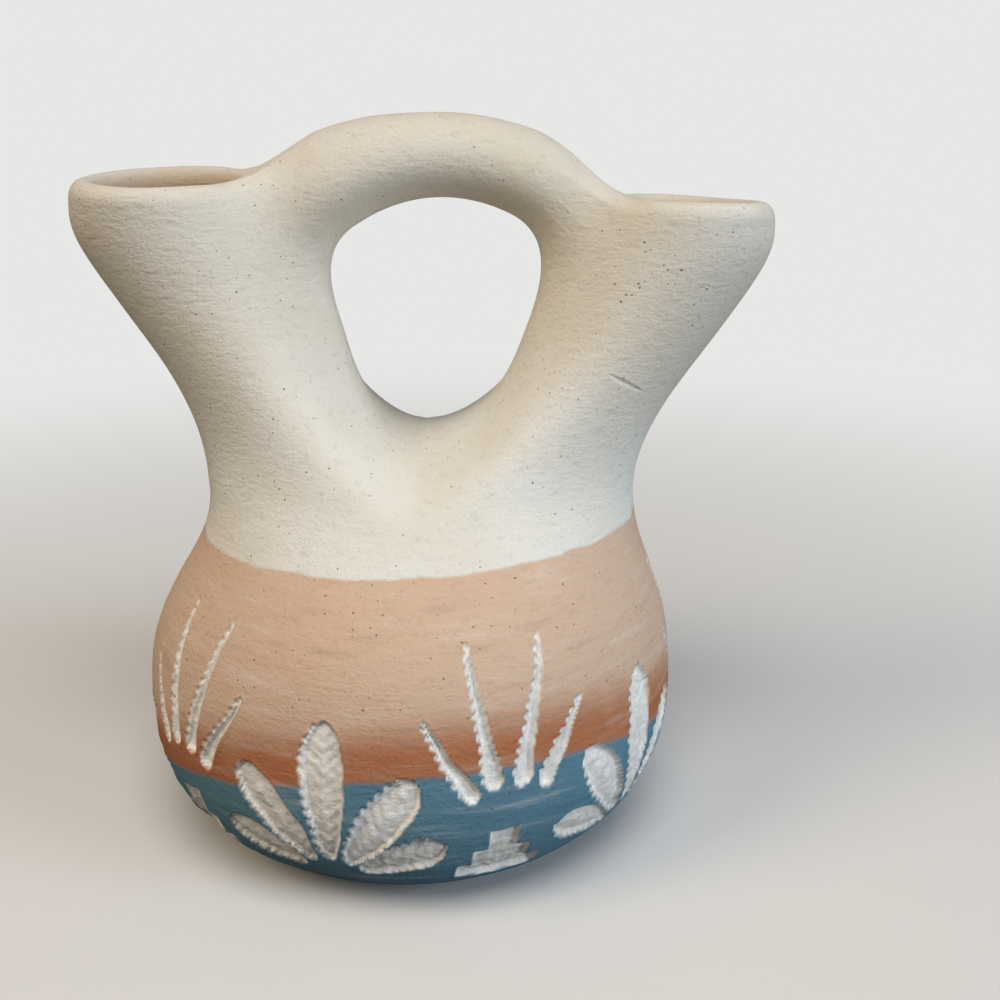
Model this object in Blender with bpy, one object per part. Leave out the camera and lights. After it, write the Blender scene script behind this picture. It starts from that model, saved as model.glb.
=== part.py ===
"""Small two-spouted wedding vase, taken apart into the pieces that a potter joins with wet clay.

The body is a base slab with three courses of wall on it, carved with a frieze of feather fans. Two
spouts rise from the oval waist and meet over a saddle. A rim coil closes each spout, and a coil
handle bridges the two rims, with a fillet coil pressed into the corner at each of its feet. Seats
follow the wall's own normals, so every joint is a lapped clay seam of one named thickness. +X is
the right spout, -Y is the front, and the origin is the middle of the foot.
"""
import bpy
import bmesh
import numpy as np
from mathutils import Vector
from mathutils.bvhtree import BVHTree

MM = 0.001

# Body, from the flat foot over the belly to the oval waist
FOOT_RADIUS = 17.0 * MM
FOOT_PULL = 4.0 * MM
BELLY_RADIUS = 33.0 * MM
BELLY_HEIGHT = 18.6 * MM
BELLY_PULL_BELOW = 15.0 * MM
BELLY_PULL_ABOVE = 14.3 * MM
WAIST_HEIGHT = 44.2 * MM
WAIST_HALF_WIDTH = 26.1 * MM
WAIST_HALF_DEPTH = 21.5 * MM
WAIST_PULL = 9.1 * MM
WAIST_FRONT_LEAN = np.radians(42.0)
NECK_OFFSET = 1.7 * MM
BODY_WALL = 3.8 * MM

# Courses of the wall
BASE_THICKNESS = 3.6 * MM
LOWER_COURSE_TOP = 14.0 * MM
BELLY_COURSE_TOP = 28.0 * MM
BASE_COIL = 4.0 * MM
BASE_COIL_LAP = 1.4 * MM

# Carved frieze on the belly: fans of feathers, and between them stepped hills with rays above
FAN_COUNT = 5
FIRST_FAN_TURN = np.radians(-104.0)
FAN_HUB_LEVEL = -14.0 * MM
FEATHER_ANGLES = np.radians((-58.0, -30.0, 0.0, 30.0, 58.0))
FEATHER_START = 4.2 * MM
FEATHER_LENGTH = 22.5 * MM
FEATHER_SHORTENING = 0.32
FEATHER_HALF_WIDTH = 2.4 * MM
FEATHER_BEND = 0.12
FEATHER_RIB_SHARE = 0.5
HILL_LEVEL = -14.5 * MM
HILL_STEP = 3.0 * MM
HILL_HALF_WIDTHS = (5.4 * MM, 3.6 * MM, 1.8 * MM)
HILL_RISER = 0.2 * MM
RAY_HUB_LEVEL = -8.0 * MM
RAY_ANGLES = np.radians((-30.0, -11.0, 11.0, 30.0))
RAY_START = 9.0 * MM
RAY_LENGTH = 26.0 * MM
RAY_HALF_WIDTH = 1.0 * MM
RAY_TIP_SHARE = 0.2
CUT_DEPTH = 0.6 * MM
CUT_SLOPE = 0.4 * MM
CUT_FLOOR = 0.1 * MM
CUTTER_RISE = 0.6 * MM

# Saddle between the spouts
SADDLE_HEIGHT = 49.0 * MM
SADDLE_ROOT_PULL = 5.0 * MM
SADDLE_TOP_PULL = 9.0 * MM

# Spouts: the mouth's place, slant and size, and how strongly each side leaves the root and the mouth
SPOUT_WALL = 3.8 * MM
MOUTH_HALF_DEPTH = 11.5 * MM
SIDE_ROOT_PULL = 12.0 * MM
SIDE_MOUTH_PULL = 11.0 * MM
OUTER_FLARE = -0.2
SIDE_FLARE = 0.2
INNER_FLARE = -0.75

LEFT_MOUTH_REACH = 28.5 * MM
LEFT_MOUTH_HEIGHT = 79.4 * MM
LEFT_MOUTH_HALF_WIDTH = 12.4 * MM
LEFT_MOUTH_TILT = np.radians(0.5)
LEFT_MOUTH_NOD = np.radians(2.4)
LEFT_OUTER_ROOT_PULL = 18.6 * MM
LEFT_OUTER_MOUTH_PULL = 12.0 * MM
LEFT_INNER_ROOT_PULL = 12.2 * MM
LEFT_INNER_MOUTH_PULL = 14.0 * MM

RIGHT_MOUTH_REACH = 30.6 * MM
RIGHT_MOUTH_HEIGHT = 76.9 * MM
RIGHT_MOUTH_HALF_WIDTH = 11.7 * MM
RIGHT_MOUTH_TILT = np.radians(2.5)
RIGHT_MOUTH_NOD = np.radians(-3.5)
RIGHT_OUTER_ROOT_PULL = 12.0 * MM
RIGHT_OUTER_MOUTH_PULL = 10.5 * MM
RIGHT_INNER_ROOT_PULL = 16.0 * MM
RIGHT_INNER_MOUTH_PULL = 10.5 * MM

# Handle coil and the fillets at its feet
HANDLE_HALF_HEIGHT = 4.8 * MM
HANDLE_HALF_DEPTH = 6.2 * MM
HANDLE_END_SWELL = 0.9 * MM
HANDLE_SPRING = 7.0 * MM
LEFT_HANDLE_FOOT_SHARE = 0.92
RIGHT_HANDLE_FOOT_SHARE = 0.99
LEFT_HANDLE_ANGLE = np.radians(43.0)
LEFT_HANDLE_PULL = 14.8 * MM
RIGHT_HANDLE_ANGLE = np.radians(46.5)
RIGHT_HANDLE_PULL = 10.8 * MM
FILLET_REACH = 3.2 * MM
FILLET_UNDER_REACH = 7.0 * MM
FILLET_EDGE = 0.3 * MM
LANDING_SHARE = 0.7

# Clay seam between neighbouring pieces
SEAM = 0.3 * MM

# Mesh density: columns round each ring, and rows along each piece
AROUND = 40
HANDLE_SIDE_COUNT = 24
BASE_ROWS = 6
LOWER_ROWS = 6
BELLY_ROWS = 6
SHOULDER_ROWS = 8
COIL_ROWS = 4
SPOUT_ROWS = 13
LIP_ROWS = 8
HANDLE_ROWS = 16
FEATHER_SHARES = (0.02, 0.2, 0.42, 0.64, 0.86, 0.99)
RAY_SHARES = (0.0, 0.25, 0.5, 0.75, 1.0)
FOOT_FACE_SHARES = (0.35, 0.7, 1.0)
FILLET_SEAT_ROWS = 4
FILLET_HOLLOW_ROWS = 6
SHARP_ANGLE = np.radians(40.0)

# How a spout's net is laid: shares of its root ring, the fan at the corners and the smoothing passes
RIDGE_SHARE = 0.2
CORNER_SHARE = 0.05
WAIST_FAN_SHARE = 0.2
FAN = np.radians(45.0)
SMOOTHING = 8
HELD_SHARE = 1.0 / 3.0
SQUARED_FROM_SHARE = 0.375

# Span value of the waist, and the steps that slopes and lookups are read with
WAIST_SPAN = 2.0
SLOPE_STEP = 1e-4
LOOKUP_COUNT = 801

BARE_CLAY = (0.80, 0.75, 0.67)
TAN_SLIP = (0.70, 0.52, 0.38)
RUST_SLIP = (0.48, 0.22, 0.13)
BLUE_SLIP = (0.22, 0.37, 0.44)
CLAY_ROUGHNESS = 0.9


def clear_scene():
    for thing in list(bpy.data.objects):
        bpy.data.objects.remove(thing)


def bezier(p0, p1, p2, p3, t):
    t = np.asarray(t, float)[..., None]
    return (1 - t)**3 * p0 + 3 * (1 - t)**2 * t * p1 + 3 * (1 - t) * t**2 * p2 + t**3 * p3


def unit(vectors):
    return vectors / np.linalg.norm(vectors, axis=-1, keepdims=True)


def ease(t):
    t = np.clip(t, 0.0, 1.0)
    return t * t * (3.0 - 2.0 * t)


# The body's outer surface: span 0 to 1 is foot to belly, 1 to 2 is belly to waist

def body_profile(span):
    """Half-width, half-depth, offset of the centre and height at each span value."""
    span = np.atleast_1d(np.asarray(span, float))
    front_ease = WAIST_HALF_DEPTH + WAIST_PULL * np.tan(WAIST_FRONT_LEAN)
    low = bezier(
        np.array([FOOT_RADIUS, FOOT_RADIUS, 0.0, 0.0]),
        np.array([FOOT_RADIUS + FOOT_PULL, FOOT_RADIUS + FOOT_PULL, 0.0, 0.0]),
        np.array([BELLY_RADIUS, BELLY_RADIUS, 0.0, BELLY_HEIGHT - BELLY_PULL_BELOW]),
        np.array([BELLY_RADIUS, BELLY_RADIUS, 0.0, BELLY_HEIGHT]),
        span)
    high = bezier(
        np.array([BELLY_RADIUS, BELLY_RADIUS, 0.0, BELLY_HEIGHT]),
        np.array([BELLY_RADIUS, BELLY_RADIUS, 0.0, BELLY_HEIGHT + BELLY_PULL_ABOVE]),
        np.array([WAIST_HALF_WIDTH, front_ease, NECK_OFFSET, WAIST_HEIGHT - WAIST_PULL]),
        np.array([WAIST_HALF_WIDTH, WAIST_HALF_DEPTH, NECK_OFFSET, WAIST_HEIGHT]),
        span - 1.0)
    return np.where((span <= 1.0)[:, None], low, high)


def body_rings(span, turn):
    """Points of the outer surface, one ring for each span value."""
    width, depth, centre, height = (column[:, None] for column in body_profile(span).T)
    x = centre + width * np.cos(turn)
    y = depth * np.sin(turn)
    return np.stack([x, y, height + 0.0 * x], axis=-1)


def body_rises(span, turn):
    """Unit vectors up the outer surface."""
    return unit(body_rings(span, turn) - body_rings(np.asarray(span) - SLOPE_STEP, turn))


def body_normals(span, turn):
    along = body_rings(span, turn + SLOPE_STEP) - body_rings(span, turn - SLOPE_STEP)
    return unit(np.cross(along, body_rises(span, turn)))


def span_at(height):
    """Span value at which the outer surface reaches a height."""
    spans = np.linspace(0.0, WAIST_SPAN, LOOKUP_COUNT)
    return float(np.interp(height, body_profile(spans)[:, 3], spans))


def turns(count):
    return np.linspace(0.0, 2.0 * np.pi, count, endpoint=False)


# Spout surfaces, made for the right side and mirrored for the left

class Spout:
    def __init__(self, side, reach, height, half_width, tilt, nod, pulls):
        self.side = side
        self.reach = reach
        self.height = height
        self.half_width = half_width
        self.tilt = tilt
        self.nod = nod
        self.pulls = pulls
        self.share = np.arange(AROUND) / AROUND

    def place(self, points):
        """Local points, measured from the neck's axis, in the vase's frame."""
        return points * np.array([self.side, 1.0, 1.0]) + np.array([NECK_OFFSET, 0.0, 0.0])

    def root(self):
        """Root ring on the waist and the saddle's ridge, with the direction that leaves it.

        The two lines cross at a corner in front and behind, and there the directions fan out.
        """
        off = (self.share + 0.5) % 1.0 - 0.5
        corner = 0.5 - RIDGE_SHARE
        outward = np.array([1.0, 0.0, 0.0])
        turn = np.clip(off / corner, -1.0, 1.0) * np.pi / 2
        waist = body_rings([WAIST_SPAN], turn)[0] - np.array([NECK_OFFSET, 0.0, 0.0])
        rise = body_rises([WAIST_SPAN], turn)[0]
        aside = np.sign(off)[:, None] * np.stack([np.sin(turn), -np.cos(turn), 0.0 * turn], axis=-1)
        fan = FAN * ease((np.abs(off) - corner + WAIST_FAN_SHARE) / WAIST_FAN_SHARE)[:, None]
        from_waist = rise * np.cos(fan) + aside * np.sin(fan)
        climb = np.clip((np.abs(off) - corner) / RIDGE_SHARE, 0.0, 1.0)
        arch, arch_rise = self.ridge(climb)
        facing = np.stack([0.0 * off, -np.sign(off), 1.0 + 0.0 * off], axis=-1)
        fan = (FAN + (np.pi / 2 - FAN) * climb)[:, None]
        from_ridge = arch_rise * facing * np.cos(fan) + outward * np.sin(fan)
        on_ridge = (np.abs(off) > corner)[:, None]
        points = np.where(on_ridge, arch * facing, waist)
        leaving = unit(np.where(on_ridge, from_ridge, from_waist))
        below = (1.0 - ease(climb / CORNER_SHARE))[:, None]
        beside = ease((np.abs(off) - corner + CORNER_SHARE) / CORNER_SHARE)[:, None]
        return points + SEAM * (below * rise + beside * outward / 2), leaving

    def ridge(self, climb):
        """The front half of the saddle's ridge and its direction, from the waist to the top."""
        lean = np.array([0.0, np.sin(WAIST_FRONT_LEAN), np.cos(WAIST_FRONT_LEAN)])
        start = np.array([0.0, -WAIST_HALF_DEPTH, WAIST_HEIGHT])
        top = np.array([0.0, 0.0, SADDLE_HEIGHT])
        before_top = top - np.array([0.0, SADDLE_TOP_PULL, 0.0])
        curve = (start, start + SADDLE_ROOT_PULL * lean, before_top, top)
        ahead = bezier(*curve, climb + SLOPE_STEP)
        behind = bezier(*curve, climb - SLOPE_STEP)
        return bezier(*curve, climb), unit(ahead - behind)

    def mouth(self):
        """Mouth ring, its outward directions, its axis and the direction that enters it."""
        turn = 2.0 * np.pi * self.share[:, None]
        out = np.array([np.cos(self.tilt), 0.0, -np.sin(self.tilt)])
        plumb = np.array([np.sin(self.tilt), 0.0, np.cos(self.tilt)])
        across = np.array([0.0, np.cos(self.nod), 0.0]) + np.sin(self.nod) * plumb
        axis = np.cross(out, across)
        centre = np.array([self.reach, 0.0, self.height])
        away = np.cos(turn) * out + np.sin(turn) * across
        ring = self.half_width * np.cos(turn) * out + MOUTH_HALF_DEPTH * np.sin(turn) * across
        flare = self.around(OUTER_FLARE, INNER_FLARE, SIDE_FLARE)
        return centre + ring, away, axis, unit(axis + flare * away)

    def around(self, outer, inner, side):
        """A value that goes from the outer side over the flanks to the inner side."""
        cosine = np.cos(2.0 * np.pi * self.share)
        end = np.where(cosine > 0.0, outer, inner)
        return (side + (end - side) * cosine**2)[:, None]

    def outer(self):
        """Rows of the outer skin from the root to the mouth."""
        start, leaving = self.root()
        end, _, _, entering = self.mouth()
        root_pull = self.around(self.pulls[0], self.pulls[2], SIDE_ROOT_PULL)
        mouth_pull = self.around(self.pulls[1], self.pulls[3], SIDE_MOUTH_PULL)
        levels = np.linspace(0.0, 1.0, SPOUT_ROWS)
        skin = np.array([bezier(start, start + root_pull * leaving, end - mouth_pull * entering, end,
                                np.full(AROUND, level)) for level in levels])
        near_ends = np.minimum(1.0, np.minimum(levels, 1.0 - levels) / HELD_SHARE)[1:-1, None, None]
        off_inner = 1.0 - ease(1.0 - np.abs(self.share - 0.5) / RIDGE_SHARE)
        hold = near_ends * off_inner[:, None]
        for _ in range(SMOOTHING):
            beside = np.roll(skin, 1, axis=1) + np.roll(skin, -1, axis=1)
            middle = (beside[1:-1] + skin[:-2] + skin[2:]) / 4.0
            skin[1:-1] += hold * (middle - skin[1:-1])
        return skin

    def normals(self, skin):
        along = np.roll(skin, -1, axis=1) - np.roll(skin, 1, axis=1)
        rising = np.gradient(skin, axis=0)
        normals = unit(np.cross(along, rising))
        normals[0] = unit(np.cross(along[0], self.root()[1]))
        return normals

    def inner(self, skin):
        """The bore's skin: the outer rows set back by the wall, square to the mouth at the top."""
        away = self.mouth()[1]
        levels = np.linspace(0.0, 1.0, SPOUT_ROWS)
        share = ease((levels - SQUARED_FROM_SHARE) / (1.0 - SQUARED_FROM_SHARE))[:, None, None]
        inward = unit(self.normals(skin) * (1.0 - share) + away * share)
        return skin - SPOUT_WALL * inward

    def lip(self):
        """Half-round rows over the wall's top, from its outer to its inner edge."""
        ring, away, axis, _ = self.mouth()
        radius = SPOUT_WALL / 2
        sweep = np.linspace(0.0, np.pi, LIP_ROWS)
        return np.array([ring - away * radius * (1.0 - np.cos(g)) + axis * (SEAM + radius * np.sin(g))
                         for g in sweep])


def make_spouts():
    left = Spout(-1.0, LEFT_MOUTH_REACH, LEFT_MOUTH_HEIGHT, LEFT_MOUTH_HALF_WIDTH, LEFT_MOUTH_TILT,
                 LEFT_MOUTH_NOD, (LEFT_OUTER_ROOT_PULL, LEFT_OUTER_MOUTH_PULL,
                                  LEFT_INNER_ROOT_PULL, LEFT_INNER_MOUTH_PULL))
    right = Spout(1.0, RIGHT_MOUTH_REACH, RIGHT_MOUTH_HEIGHT, RIGHT_MOUTH_HALF_WIDTH, RIGHT_MOUTH_TILT,
                  RIGHT_MOUTH_NOD, (RIGHT_OUTER_ROOT_PULL, RIGHT_OUTER_MOUTH_PULL,
                                    RIGHT_INNER_ROOT_PULL, RIGHT_INNER_MOUTH_PULL))
    return left, right


# Meshes

def clay(name, colour):
    material = bpy.data.materials.new(name)
    material.use_nodes = True
    shader = material.node_tree.nodes["Principled BSDF"]
    shader.inputs["Base Color"].default_value = (*colour, 1.0)
    shader.inputs["Roughness"].default_value = CLAY_ROUGHNESS
    shader.inputs["Metallic"].default_value = 0.0
    return material


def add_piece(name, shape, colour):
    bmesh.ops.recalc_face_normals(shape, faces=shape.faces)
    mesh = bpy.data.meshes.new(name)
    shape.to_mesh(mesh)
    shape.free()
    mesh.shade_smooth()
    mesh.set_sharp_from_angle(angle=SHARP_ANGLE)
    mesh.materials.append(clay(name + "_clay", colour))
    piece = bpy.data.objects.new(name, mesh)
    bpy.context.collection.objects.link(piece)
    return piece


def grid_faces(shape, rows, close_rows):
    """Faces between neighbouring rings of vertices."""
    pairs = list(zip(rows[:-1], rows[1:]))
    if close_rows:
        pairs.append((rows[-1], rows[0]))
    for lower, upper in pairs:
        for i in range(len(lower)):
            j = (i + 1) % len(lower)
            shape.faces.new((lower[i], lower[j], upper[j], upper[i]))


def ring_shape(rows):
    """A closed ring: rows of points round the axis, the last row joined to the first."""
    shape = bmesh.new()
    verts = [[shape.verts.new(point) for point in row] for row in rows]
    grid_faces(shape, verts, True)
    return shape


def add_bar(shape, rows):
    """A closed bar: rows of points along it, closed by a fan at each end."""
    verts = [[shape.verts.new(point) for point in row] for row in rows]
    grid_faces(shape, verts, False)
    for row in (verts[0], verts[-1]):
        middle = shape.verts.new(np.mean([vert.co for vert in row], axis=0))
        for i in range(len(row)):
            shape.faces.new((row[i], row[(i + 1) % len(row)], middle))


def bar_shape(rows):
    shape = bmesh.new()
    add_bar(shape, rows)
    return shape


# Body pieces

def course_skins(bottom, top, rows):
    """Outer and inner rows of one course of the wall between two heights, with a seam left under it."""
    turn = turns(AROUND)
    spans = np.linspace(span_at(bottom), span_at(top), rows)
    outer = body_rings(spans, turn)
    outer[0] += SEAM * body_rises(spans[:1], turn)[0]
    return outer, outer - BODY_WALL * body_normals(spans, turn)


def wall_course(name, bottom, top, rows, colour):
    outer, inner = course_skins(bottom, top, rows)
    return add_piece(name, ring_shape(np.concatenate([outer, inner[::-1]])), colour)


def lower_bowl():
    """Lowest course of the wall, with a flat foot that stands on the base."""
    outer, inner = course_skins(BASE_THICKNESS, LOWER_COURSE_TOP, LOWER_ROWS)
    outer[0, :, 2] = BASE_THICKNESS + SEAM
    inner_foot = inner[:1].copy()
    inner_foot[..., 2] = BASE_THICKNESS + SEAM
    return add_piece("lower_bowl", ring_shape(np.concatenate([outer, inner[::-1], inner_foot])), BLUE_SLIP)


def base_disc():
    """Slab base: its edge follows the body's outside, and the wall stands on its flat top."""
    spans = np.linspace(0.0, span_at(BASE_THICKNESS), BASE_ROWS)
    rows = body_rings(spans, turns(AROUND))
    rows[-1, :, 2] = BASE_THICKNESS
    add_piece("base_disc", bar_shape(rows), BLUE_SLIP)


def base_seam_coil():
    """Coil pressed into the corner between the base's top and the wall's inside.

    It thins from its toe on the base to its edge, which laps over the foot of the leaning wall.
    """
    turn = turns(AROUND)
    _, inner = course_skins(BASE_THICKNESS, LOWER_COURSE_TOP, LOWER_ROWS)
    radii, heights = inner[:, 0, 0], inner[:, 0, 2]
    floor = BASE_THICKNESS + SEAM
    top = heights[0] + BASE_COIL_LAP
    levels = np.concatenate([[floor], np.linspace(heights[0], top, COIL_ROWS)])
    wall = np.interp(levels, heights, radii) - SEAM
    thickness = FILLET_EDGE + (BASE_COIL - FILLET_EDGE) * ((top - levels) / (top - floor))**2
    section = list(zip(wall, levels)) + list(zip(wall - thickness, levels))[::-1]
    rows = [np.stack([radius * np.cos(turn), radius * np.sin(turn), np.full(AROUND, level)], axis=-1)
            for radius, level in section]
    add_piece("base_seam_coil", ring_shape(rows), BARE_CLAY)


# Carving: cuts drawn on the belly unrolled, x along the girth and y up the wall from its widest line

def wall_lengths():
    """Span values from foot to waist, and the length up the wall at each, from the widest line."""
    spans = np.linspace(0.0, WAIST_SPAN, LOOKUP_COUNT)
    steps = np.linalg.norm(np.diff(body_profile(spans)[:, [0, 3]], axis=0), axis=1)
    lengths = np.concatenate([[0.0], np.cumsum(steps)])
    return spans, lengths - np.interp(1.0, spans, lengths)


def wall_spot(flat, lift):
    """Point over a spot of the unrolled belly, lifted off the wall or sunk into it."""
    spans, lengths = wall_lengths()
    span = np.interp(flat[1:], lengths, spans)
    turn = FIRST_FAN_TURN + flat[:1] / BELLY_RADIUS
    return (body_rings(span, turn) + lift * body_normals(span, turn))[0, 0]


def cut_section(middle, across, half_width, rib_share):
    """Six points round a cut: three over the wall, then three on its floor, with the rib in the middle."""
    floor = max(CUT_FLOOR, half_width - CUT_SLOPE)
    top = floor + CUT_SLOPE * (1.0 + CUTTER_RISE / CUT_DEPTH)
    over = [wall_spot(middle + side * top * across, CUTTER_RISE) for side in (-1.0, 0.0, 1.0)]
    depths = (CUT_DEPTH, CUT_DEPTH * (1.0 - rib_share), CUT_DEPTH)
    under = [wall_spot(middle + side * floor * across, -depth)
             for side, depth in zip((1.0, 0.0, -1.0), depths)]
    return over + under


def blade(hub, angle, start, length, bend, shares, half_widths, rib_share):
    """A long cut that leaves a hub at an angle from the upright and bends away from it."""
    heading = np.array([np.sin(angle), np.cos(angle)])
    aside = np.array([heading[1], -heading[0]])
    sag = bend * length * np.sin(angle)
    rows = []
    for share, half_width in zip(shares, half_widths):
        middle = hub + heading * (start + share * (length - start)) + aside * sag * share**2
        along = unit(heading * (length - start) + 2.0 * aside * sag * share)
        across = np.array([-along[1], along[0]])
        rows.append(cut_section(middle, across, half_width, rib_share))
    return rows


def feather_cuts(girth):
    """Blunt leaves fanned out round a hub, shorter towards the sides."""
    hub = np.array([girth, FAN_HUB_LEVEL])
    shares = np.array(FEATHER_SHARES)
    leaf = np.sqrt(shares * (1.0 - shares**3))
    half_widths = FEATHER_HALF_WIDTH * leaf / leaf.max()
    return [blade(hub, angle, FEATHER_START, FEATHER_LENGTH * (1.0 - FEATHER_SHORTENING * abs(angle)),
                  FEATHER_BEND, shares, half_widths, FEATHER_RIB_SHARE) for angle in FEATHER_ANGLES]


def ray_cuts(girth):
    """Straight pointed blades, shorter towards the sides."""
    hub = np.array([girth, RAY_HUB_LEVEL])
    shares = np.array(RAY_SHARES)
    half_widths = RAY_HALF_WIDTH * (1.0 - (1.0 - RAY_TIP_SHARE) * shares)
    return [blade(hub, angle, RAY_START, RAY_LENGTH * np.cos(angle)**2, 0.0, shares, half_widths, 0.0)
            for angle in RAY_ANGLES]


def hill_cut(girth):
    """Stepped hill: a cut that narrows by steps as it rises."""
    across = np.array([-1.0, 0.0])
    rows = []
    for step, half_width in enumerate(HILL_HALF_WIDTHS):
        for level in (step * HILL_STEP + HILL_RISER, (step + 1) * HILL_STEP):
            middle = np.array([girth, HILL_LEVEL + level])
            rows.append(cut_section(middle, across, half_width, 0.0))
    return rows


def frieze_cutter():
    """All the cuts of the frieze as one mesh, for carving the courses of the wall."""
    shape = bmesh.new()
    pitch = 2.0 * np.pi * BELLY_RADIUS / FAN_COUNT
    for number in range(FAN_COUNT):
        between = (number + 0.5) * pitch
        for rows in feather_cuts(number * pitch) + ray_cuts(between) + [hill_cut(between)]:
            add_bar(shape, rows)
    bmesh.ops.recalc_face_normals(shape, faces=shape.faces)
    mesh = bpy.data.meshes.new("frieze_cutter")
    shape.to_mesh(mesh)
    shape.free()
    cutter = bpy.data.objects.new("frieze_cutter", mesh)
    bpy.context.collection.objects.link(cutter)
    cutter.hide_render = True
    cutter.display_type = "WIRE"
    return cutter


def carve(piece, cutter):
    """Takes the cuts out of one course, with their own crossings settled first."""
    cut = piece.modifiers.new("carving", "BOOLEAN")
    cut.operation = "DIFFERENCE"
    cut.object = cutter
    cut.use_self = True


# Spout pieces

def spout_piece(name, spout):
    skin = spout.outer()
    bore = spout.inner(skin)
    loop = np.concatenate([skin, bore[::-1]])
    add_piece(name, ring_shape(spout.place(loop)), BARE_CLAY)


def rim_coil(name, spout):
    add_piece(name, ring_shape(spout.place(spout.lip())), BARE_CLAY)


def spout_surface(spout):
    """Search tree of the outside of a spout and its rim, for what lands on them."""
    skin = spout.place(np.concatenate([spout.outer(), spout.lip()]))
    count = len(skin) * AROUND
    faces = []
    for row in range(len(skin) - 1):
        for i in range(AROUND):
            j = (i + 1) % AROUND
            face = [row * AROUND + i, row * AROUND + j, (row + 1) * AROUND + j, (row + 1) * AROUND + i]
            faces.append(face if spout.side > 0 else face[::-1])
    return BVHTree.FromPolygons(skin.reshape(count, 3).tolist(), faces)


# Handle pieces

class Handle:
    def __init__(self, left, right):
        self.trees = (spout_surface(left), spout_surface(right))
        start = self.foot(left, LEFT_HANDLE_FOOT_SHARE)
        end = self.foot(right, RIGHT_HANDLE_FOOT_SHARE)
        rise = np.array([np.cos(LEFT_HANDLE_ANGLE), 0.0, np.sin(LEFT_HANDLE_ANGLE)])
        fall = np.array([-np.cos(RIGHT_HANDLE_ANGLE), 0.0, np.sin(RIGHT_HANDLE_ANGLE)])
        self.control = (start, start + LEFT_HANDLE_PULL * rise, end + RIGHT_HANDLE_PULL * fall, end)
        self.sweep = turns(HANDLE_SIDE_COUNT)

    def foot(self, spout, share):
        """Point of the spout's inner side that the handle's axis runs to."""
        skin = spout.place(spout.outer())[:, AROUND // 2]
        levels = np.linspace(0.0, 1.0, SPOUT_ROWS)
        return np.array([np.interp(share, levels, skin[:, k]) for k in range(3)])

    def axis(self, share):
        return bezier(*self.control, share)

    def ring(self, share, swell=0.0):
        """Section square to the axis, swelling towards the feet."""
        swell = swell + HANDLE_END_SWELL * np.abs(2.0 * share - 1.0)**3
        along = unit(self.axis(share + SLOPE_STEP) - self.axis(share - SLOPE_STEP))
        up = np.array([-along[2], 0.0, along[0]])
        high = (HANDLE_HALF_HEIGHT + swell) * np.sin(self.sweep)[:, None] * up
        deep = (HANDLE_HALF_DEPTH + swell) * np.cos(self.sweep)[:, None] * np.array([0.0, 1.0, 0.0])
        return self.axis(share) + high + deep

    def spring(self, end):
        """Share of the axis at which the free handle springs from its foot."""
        shares = np.linspace(0.0, 1.0, LOOKUP_COUNT)
        lengths = np.cumsum(np.linalg.norm(np.diff(self.axis(shares), axis=0), axis=1))
        lengths = np.concatenate([[0.0], lengths])
        reach = HANDLE_SPRING if end == 0 else lengths[-1] - HANDLE_SPRING
        return float(np.interp(reach, lengths, shares))

    def land(self, end, points):
        """Points sent down the handle's axis and set on the spout, a seam away from it."""
        target = self.control[0] if end == 0 else self.control[3]
        way = (target - self.axis(self.spring(end))) * LANDING_SHARE
        landed = []
        for point in points:
            hit, normal, _, _ = self.trees[end].find_nearest(Vector(point + way))
            landed.append(np.array(hit + SEAM * normal))
        return np.array(landed)

    def foot_rows(self, end):
        """Rows of the coped end face, from its middle out to its edge."""
        ring = self.ring(self.spring(end))
        middle = ring.mean(axis=0)
        return [self.land(end, middle + share * (ring - middle)) for share in FOOT_FACE_SHARES]


def bridge_handle(handle):
    shares = np.linspace(handle.spring(0), handle.spring(1), HANDLE_ROWS)
    rows = handle.foot_rows(0) + [handle.ring(share) for share in shares] + handle.foot_rows(1)[::-1]
    add_piece("bridge_handle", bar_shape(rows), BARE_CLAY)


def keep_off(tree, points, clearance):
    """Points moved out of a surface until they stand clear of it."""
    kept = []
    for point in points:
        hit, normal, _, _ = tree.find_nearest(Vector(point))
        lift = max(clearance, (Vector(point) - hit).dot(normal))
        kept.append(np.array(hit + lift * normal) if lift == clearance else point)
    return np.array(kept)


def slide_along(tree, points, directions, reaches):
    """Points moved along a surface in the given directions, and set down on it."""
    moved = []
    for point, direction, reach in zip(points, directions, reaches):
        hit, normal, _, _ = tree.find_nearest(Vector(point))
        flat = direction - np.array(normal) * np.dot(direction, np.array(normal))
        hit, normal, _, _ = tree.find_nearest(Vector(point + reach * unit(flat)))
        moved.append(np.array(hit + SEAM * normal))
    return np.array(moved)


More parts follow.
